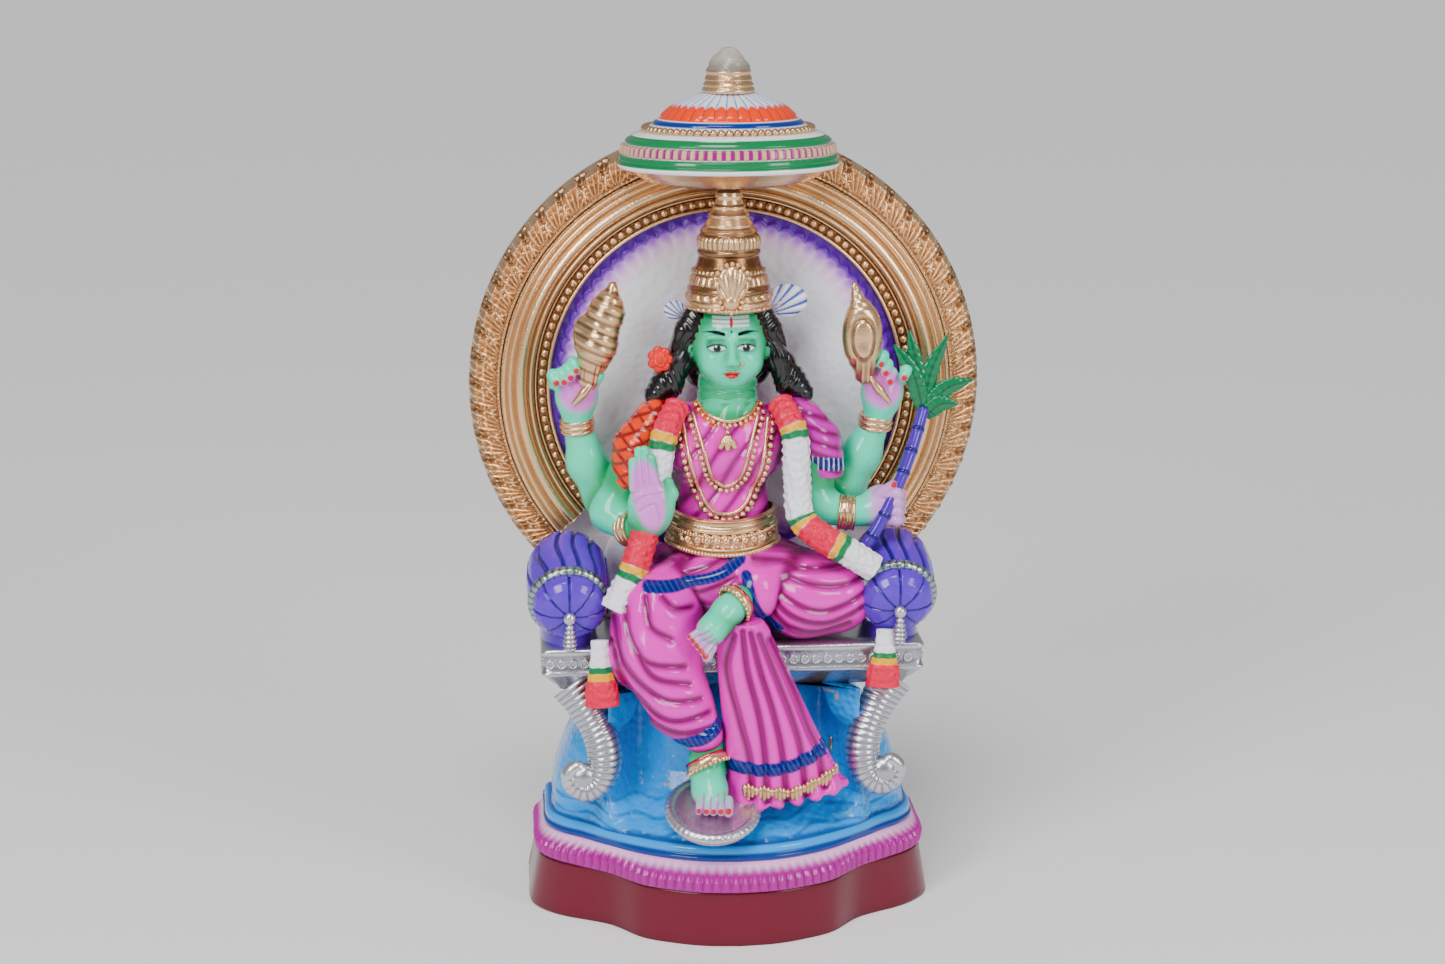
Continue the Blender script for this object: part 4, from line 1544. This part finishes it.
attribute_left = sculpt(attribute_left_field, (-73, -7, 246), (-47, 13, 299), 0.45, lambda v,
                        n: gold_shade(
    0.75 * step(np.abs(np.sin(((v[:, 2] - 252) + 0.42 * (v[:, 0] + 60)) * 0.62)), 0.75, 1.0)),
                        attribute_left_dent)
grip = tube([(-62.5, 1.5, 252), (-66, 0.4, 247.5), (-72, 1.2, 240.5)], [1.2, 2.3, 1.0], GOLD, sides=16,
            count=40)
piece("attribute_left_skin", join([attribute_left, grip]), GOLD_PAINT, "gold_paint", ["attribute_left"])


def attribute_right_field(p):
    d = ellip(p, (60, 3, 271), (9.2, 6.8, 16))
    d = blend(d, rod(p, (58.6, 3, 283), (56.2, 3, 294), 4.6, 1.6), 3)
    return blend(d, rod(p, (61.5, 4, 252), (60.6, 3, 262), 4.6, 6.4), 4)


def drop_shape(v):
    return np.hypot((v[:, 0] - 60) / 5.2, (v[:, 2] - 269.5 - 0.05 * (v[:, 0] - 60) ** 2) / 9.5)


attribute_right = sculpt(attribute_right_field, (49, -6, 246), (71, 12, 298), 0.45, lambda v,
                         n: gold_shade(
    0.85 * bump_line(drop_shape(v) - 1, 0.14) + 0.7 * step(v[:, 2], 262, 256)
    * np.abs(np.sin(v[:, 0] * 1.1))),
    lambda v, n: 0.7 * bump_line(drop_shape(v) - 1, 0.12) + 0.5 * step(v[:, 2], 263, 258)
                         * np.abs(np.sin(v[:, 0] * 1.1))
    + 0.35 * np.abs(np.sin(v[:, 2] * 0.9)) * step(v[:, 2], 281, 284))
grip = tube([(63.5, 1.5, 252), (67, 0.4, 247), (73, 1.2, 239.5)], [1.2, 2.3, 1.0], GOLD, sides=16,
            count=40)
piece("attribute_right_skin", join([attribute_right, grip]), GOLD_PAINT, "gold_paint",
      ["attribute_right"])

# ---------------------------------------------------------------- garlands and sugarcane

def strand(line, bands, radius=6.2):
    """A garland strand, with bands of (from, to, colour) along it as shares of its length."""
    def paint(t, w):
        colour = np.broadcast_to(WHITE, t.shape + (3,))
        for start, stop, c in bands:
            ragged = 0.002 * np.sin(w * 5 + start * 50)
            colour = mix(colour, c, step(t + ragged, start - 0.004, start + 0.004)
                         * step(t + ragged, stop + 0.004, stop - 0.004))
        return colour

    def knots(t, w):
        return 1 + 0.04 * np.sin(t * 150 + np.sin(w * 3) * 2) + 0.05 * np.sin(w * 7 + t * 60) * np.sin(t
                * 90)
    return tube(line, [radius * 0.95, radius, radius, radius * 1.05, radius], paint, sides=int(72 / FINE),
                count=int(420 / FINE), wave=knots, flat=0.9)


GARLAND_RED = np.array((0.82, 0.0, 0.055))
piece("garland_left_skin", strand(garland_left_line, [
    (-0.1, 0.165, GARLAND_RED), (0.165, 0.2, YELLOW), (0.2, 0.235, GREEN), (0.60, 0.78, GARLAND_RED),
    (0.78, 0.815, YELLOW), (0.815, 0.85, GREEN)]), GARLAND, "garland_paint", ["garland_left"])
piece("garland_right_skin", strand(garland_right_line, [
    (-0.1, 0.145, GARLAND_RED), (0.145, 0.175, YELLOW), (0.175, 0.205, GREEN), (0.565, 0.59, GREEN),
    (0.59, 0.62, YELLOW), (0.62, 0.77, GARLAND_RED), (0.77, 0.80, YELLOW), (0.80, 0.83, GREEN)]), GARLAND,
      "garland_paint", ["garland_right"])


def tassel_paint(t, w):
    ragged = t + 0.005 * np.sin(w * 6)
    colour = mix(WHITE, GREEN, step(ragged, 0.40, 0.41))
    colour = mix(colour, YELLOW, step(ragged, 0.49, 0.50))
    return mix(colour, GARLAND_RED, step(ragged, 0.60, 0.61))


tassels = []
for line, size in (([(-61.5, -23, 137), (-61.3, -24.5, 124), (-60.8, -25.4, 112), (-60.6, -25.4, 106.5)],
                    7.4),
                   ([(69, -22, 139), (68.6, -23.4, 128), (68, -24, 117), (67.8, -24, 112.5)], 7.4)):
    tassels.append(tube(line, [4, 4.4, 5.6, size, size * 1.02], tassel_paint, sides=int(64 / FINE),
                        count=int(130 / FINE),
                        wave=lambda t, w: 1 + 0.05 * np.abs(np.sin(w * 7)) * step(t, 0.5, 0.7) + 0.03
                        * np.sin(t * 40), flat=0.62))
piece("garland_tassels_skin", join(tassels), GARLAND, "tassel_paint", ["garland_tassels"])

CANE_VIOLET = np.array((0.07, 0.01, 0.42))
cane = [(58, -12.5, 172), (66.5, -12, 185), (75, -9, 201), (83, -2, 219), (89.5, 6, 236)]


def cane_paint(t, w):
    joint = np.abs((t * 7) - np.round(t * 7)) / 7
    return mix(CANE_VIOLET, NAVY * 0.7, step(joint, 0.016, 0.008) * 0.9)


piece("sugarcane_stalk_skin",
      tube(cane, [3.1, 2.9, 2.8, 2.9, 2.6], cane_paint, sides=28, count=int(260 / FINE), wave=lambda t,
           w: (
    1 + 0.16 * np.exp(-((np.abs((t * 7) - np.round(t * 7)) / 7) / 0.012) ** 2))), ENAMEL, "violet_enamel",
      ["sugarcane_stalk"])
leaves = []
for path in ([(89, 6, 233), (92, 7, 252), (100, 6, 270)], [(89, 6, 234), (84, 5, 252), (75, 5, 266)],
             [(90, 6, 234), (99, 5, 245), (112, 5, 249)], [(90, 6, 232), (96, 4, 238), (105, 4, 238)],
             [(89, 6, 235), (86, 7, 254), (82, 7, 272)]):
    leaves.append(tube(path, [2.4, 4.4, 4.2, 3.0, 0.4], lambda t,
                       w: mix(LEAF_GREEN, LEAF_GREEN * 0.4, np.maximum(
        step(np.abs(np.cos(w)), 0.16, 0.04) * 0.9, step(t, 0.1, 0.0))), sides=28, count=70,
        wave=lambda t, w: 1 + 0.05 * np.sin(t * 60), flat=0.36))
piece("sugarcane_leaves_skin", join(leaves), ENAMEL, "green_enamel", ["sugarcane_leaves"])

# ---------------------------------------------------------------- floor, light and camera

world = bpy.data.worlds.new("studio")
world.use_nodes = True
world.node_tree.nodes["Background"].inputs["Color"].default_value = (1.0, 1.0, 1.0, 1)
world.node_tree.nodes["Background"].inputs["Strength"].default_value = 0.3
bpy.context.scene.world = world

bpy.ops.mesh.primitive_plane_add(size=60, location=(0, 0, -0.0002))
floor = bpy.context.object
floor.name = "floor"
ground = bpy.data.materials.new("paper_floor")
ground.use_nodes = True
ground.node_tree.nodes["Principled BSDF"].inputs["Base Color"].default_value = (0.94, 0.94, 0.95, 1)
ground.node_tree.nodes["Principled BSDF"].inputs["Roughness"].default_value = 0.9
floor.data.materials.append(ground)


def softbox(name, place, aim, size, power):
    light = bpy.data.lights.new(name, "AREA")
    light.shape = "RECTANGLE"
    light.size, light.size_y = size
    light.energy = power
    obj = bpy.data.objects.new(name, light)
    obj.location = place
    obj.rotation_euler = (Vector(aim) - Vector(place)).to_track_quat("-Z", "Y").to_euler()
    bpy.context.collection.objects.link(obj)


softbox("key_light", (-0.85, -1.1, 0.9), (0, 0, 0.2), (0.45, 0.6), 12)
softbox("fill_light", (0.95, -1.0, 0.7), (0, 0, 0.2), (0.45, 0.6), 8)
sky = bpy.data.objects.new("overhead_light", bpy.data.lights.new("overhead_light", "SUN"))
sky.data.energy = 1.9
sky.data.angle = math.radians(25)
sky.rotation_euler = (math.radians(32), math.radians(-8), 0)
bpy.context.collection.objects.link(sky)

AZIMUTH, PITCH, DISTANCE = math.radians(-4.5), math.radians(13), 1.25
TARGET = Vector((-0.0039, 0, 0.204))
camera = bpy.data.objects.new("camera", bpy.data.cameras.new("camera"))
camera.data.lens = 68.1
camera.data.sensor_width = 36
back = Vector((math.sin(AZIMUTH) * math.cos(PITCH), -math.cos(AZIMUTH) * math.cos(PITCH),
               math.sin(PITCH)))
camera.location = TARGET + DISTANCE * back
camera.rotation_euler = (-back).to_track_quat("-Z", "Y").to_euler()
bpy.context.collection.objects.link(camera)
bpy.context.scene.camera = camera
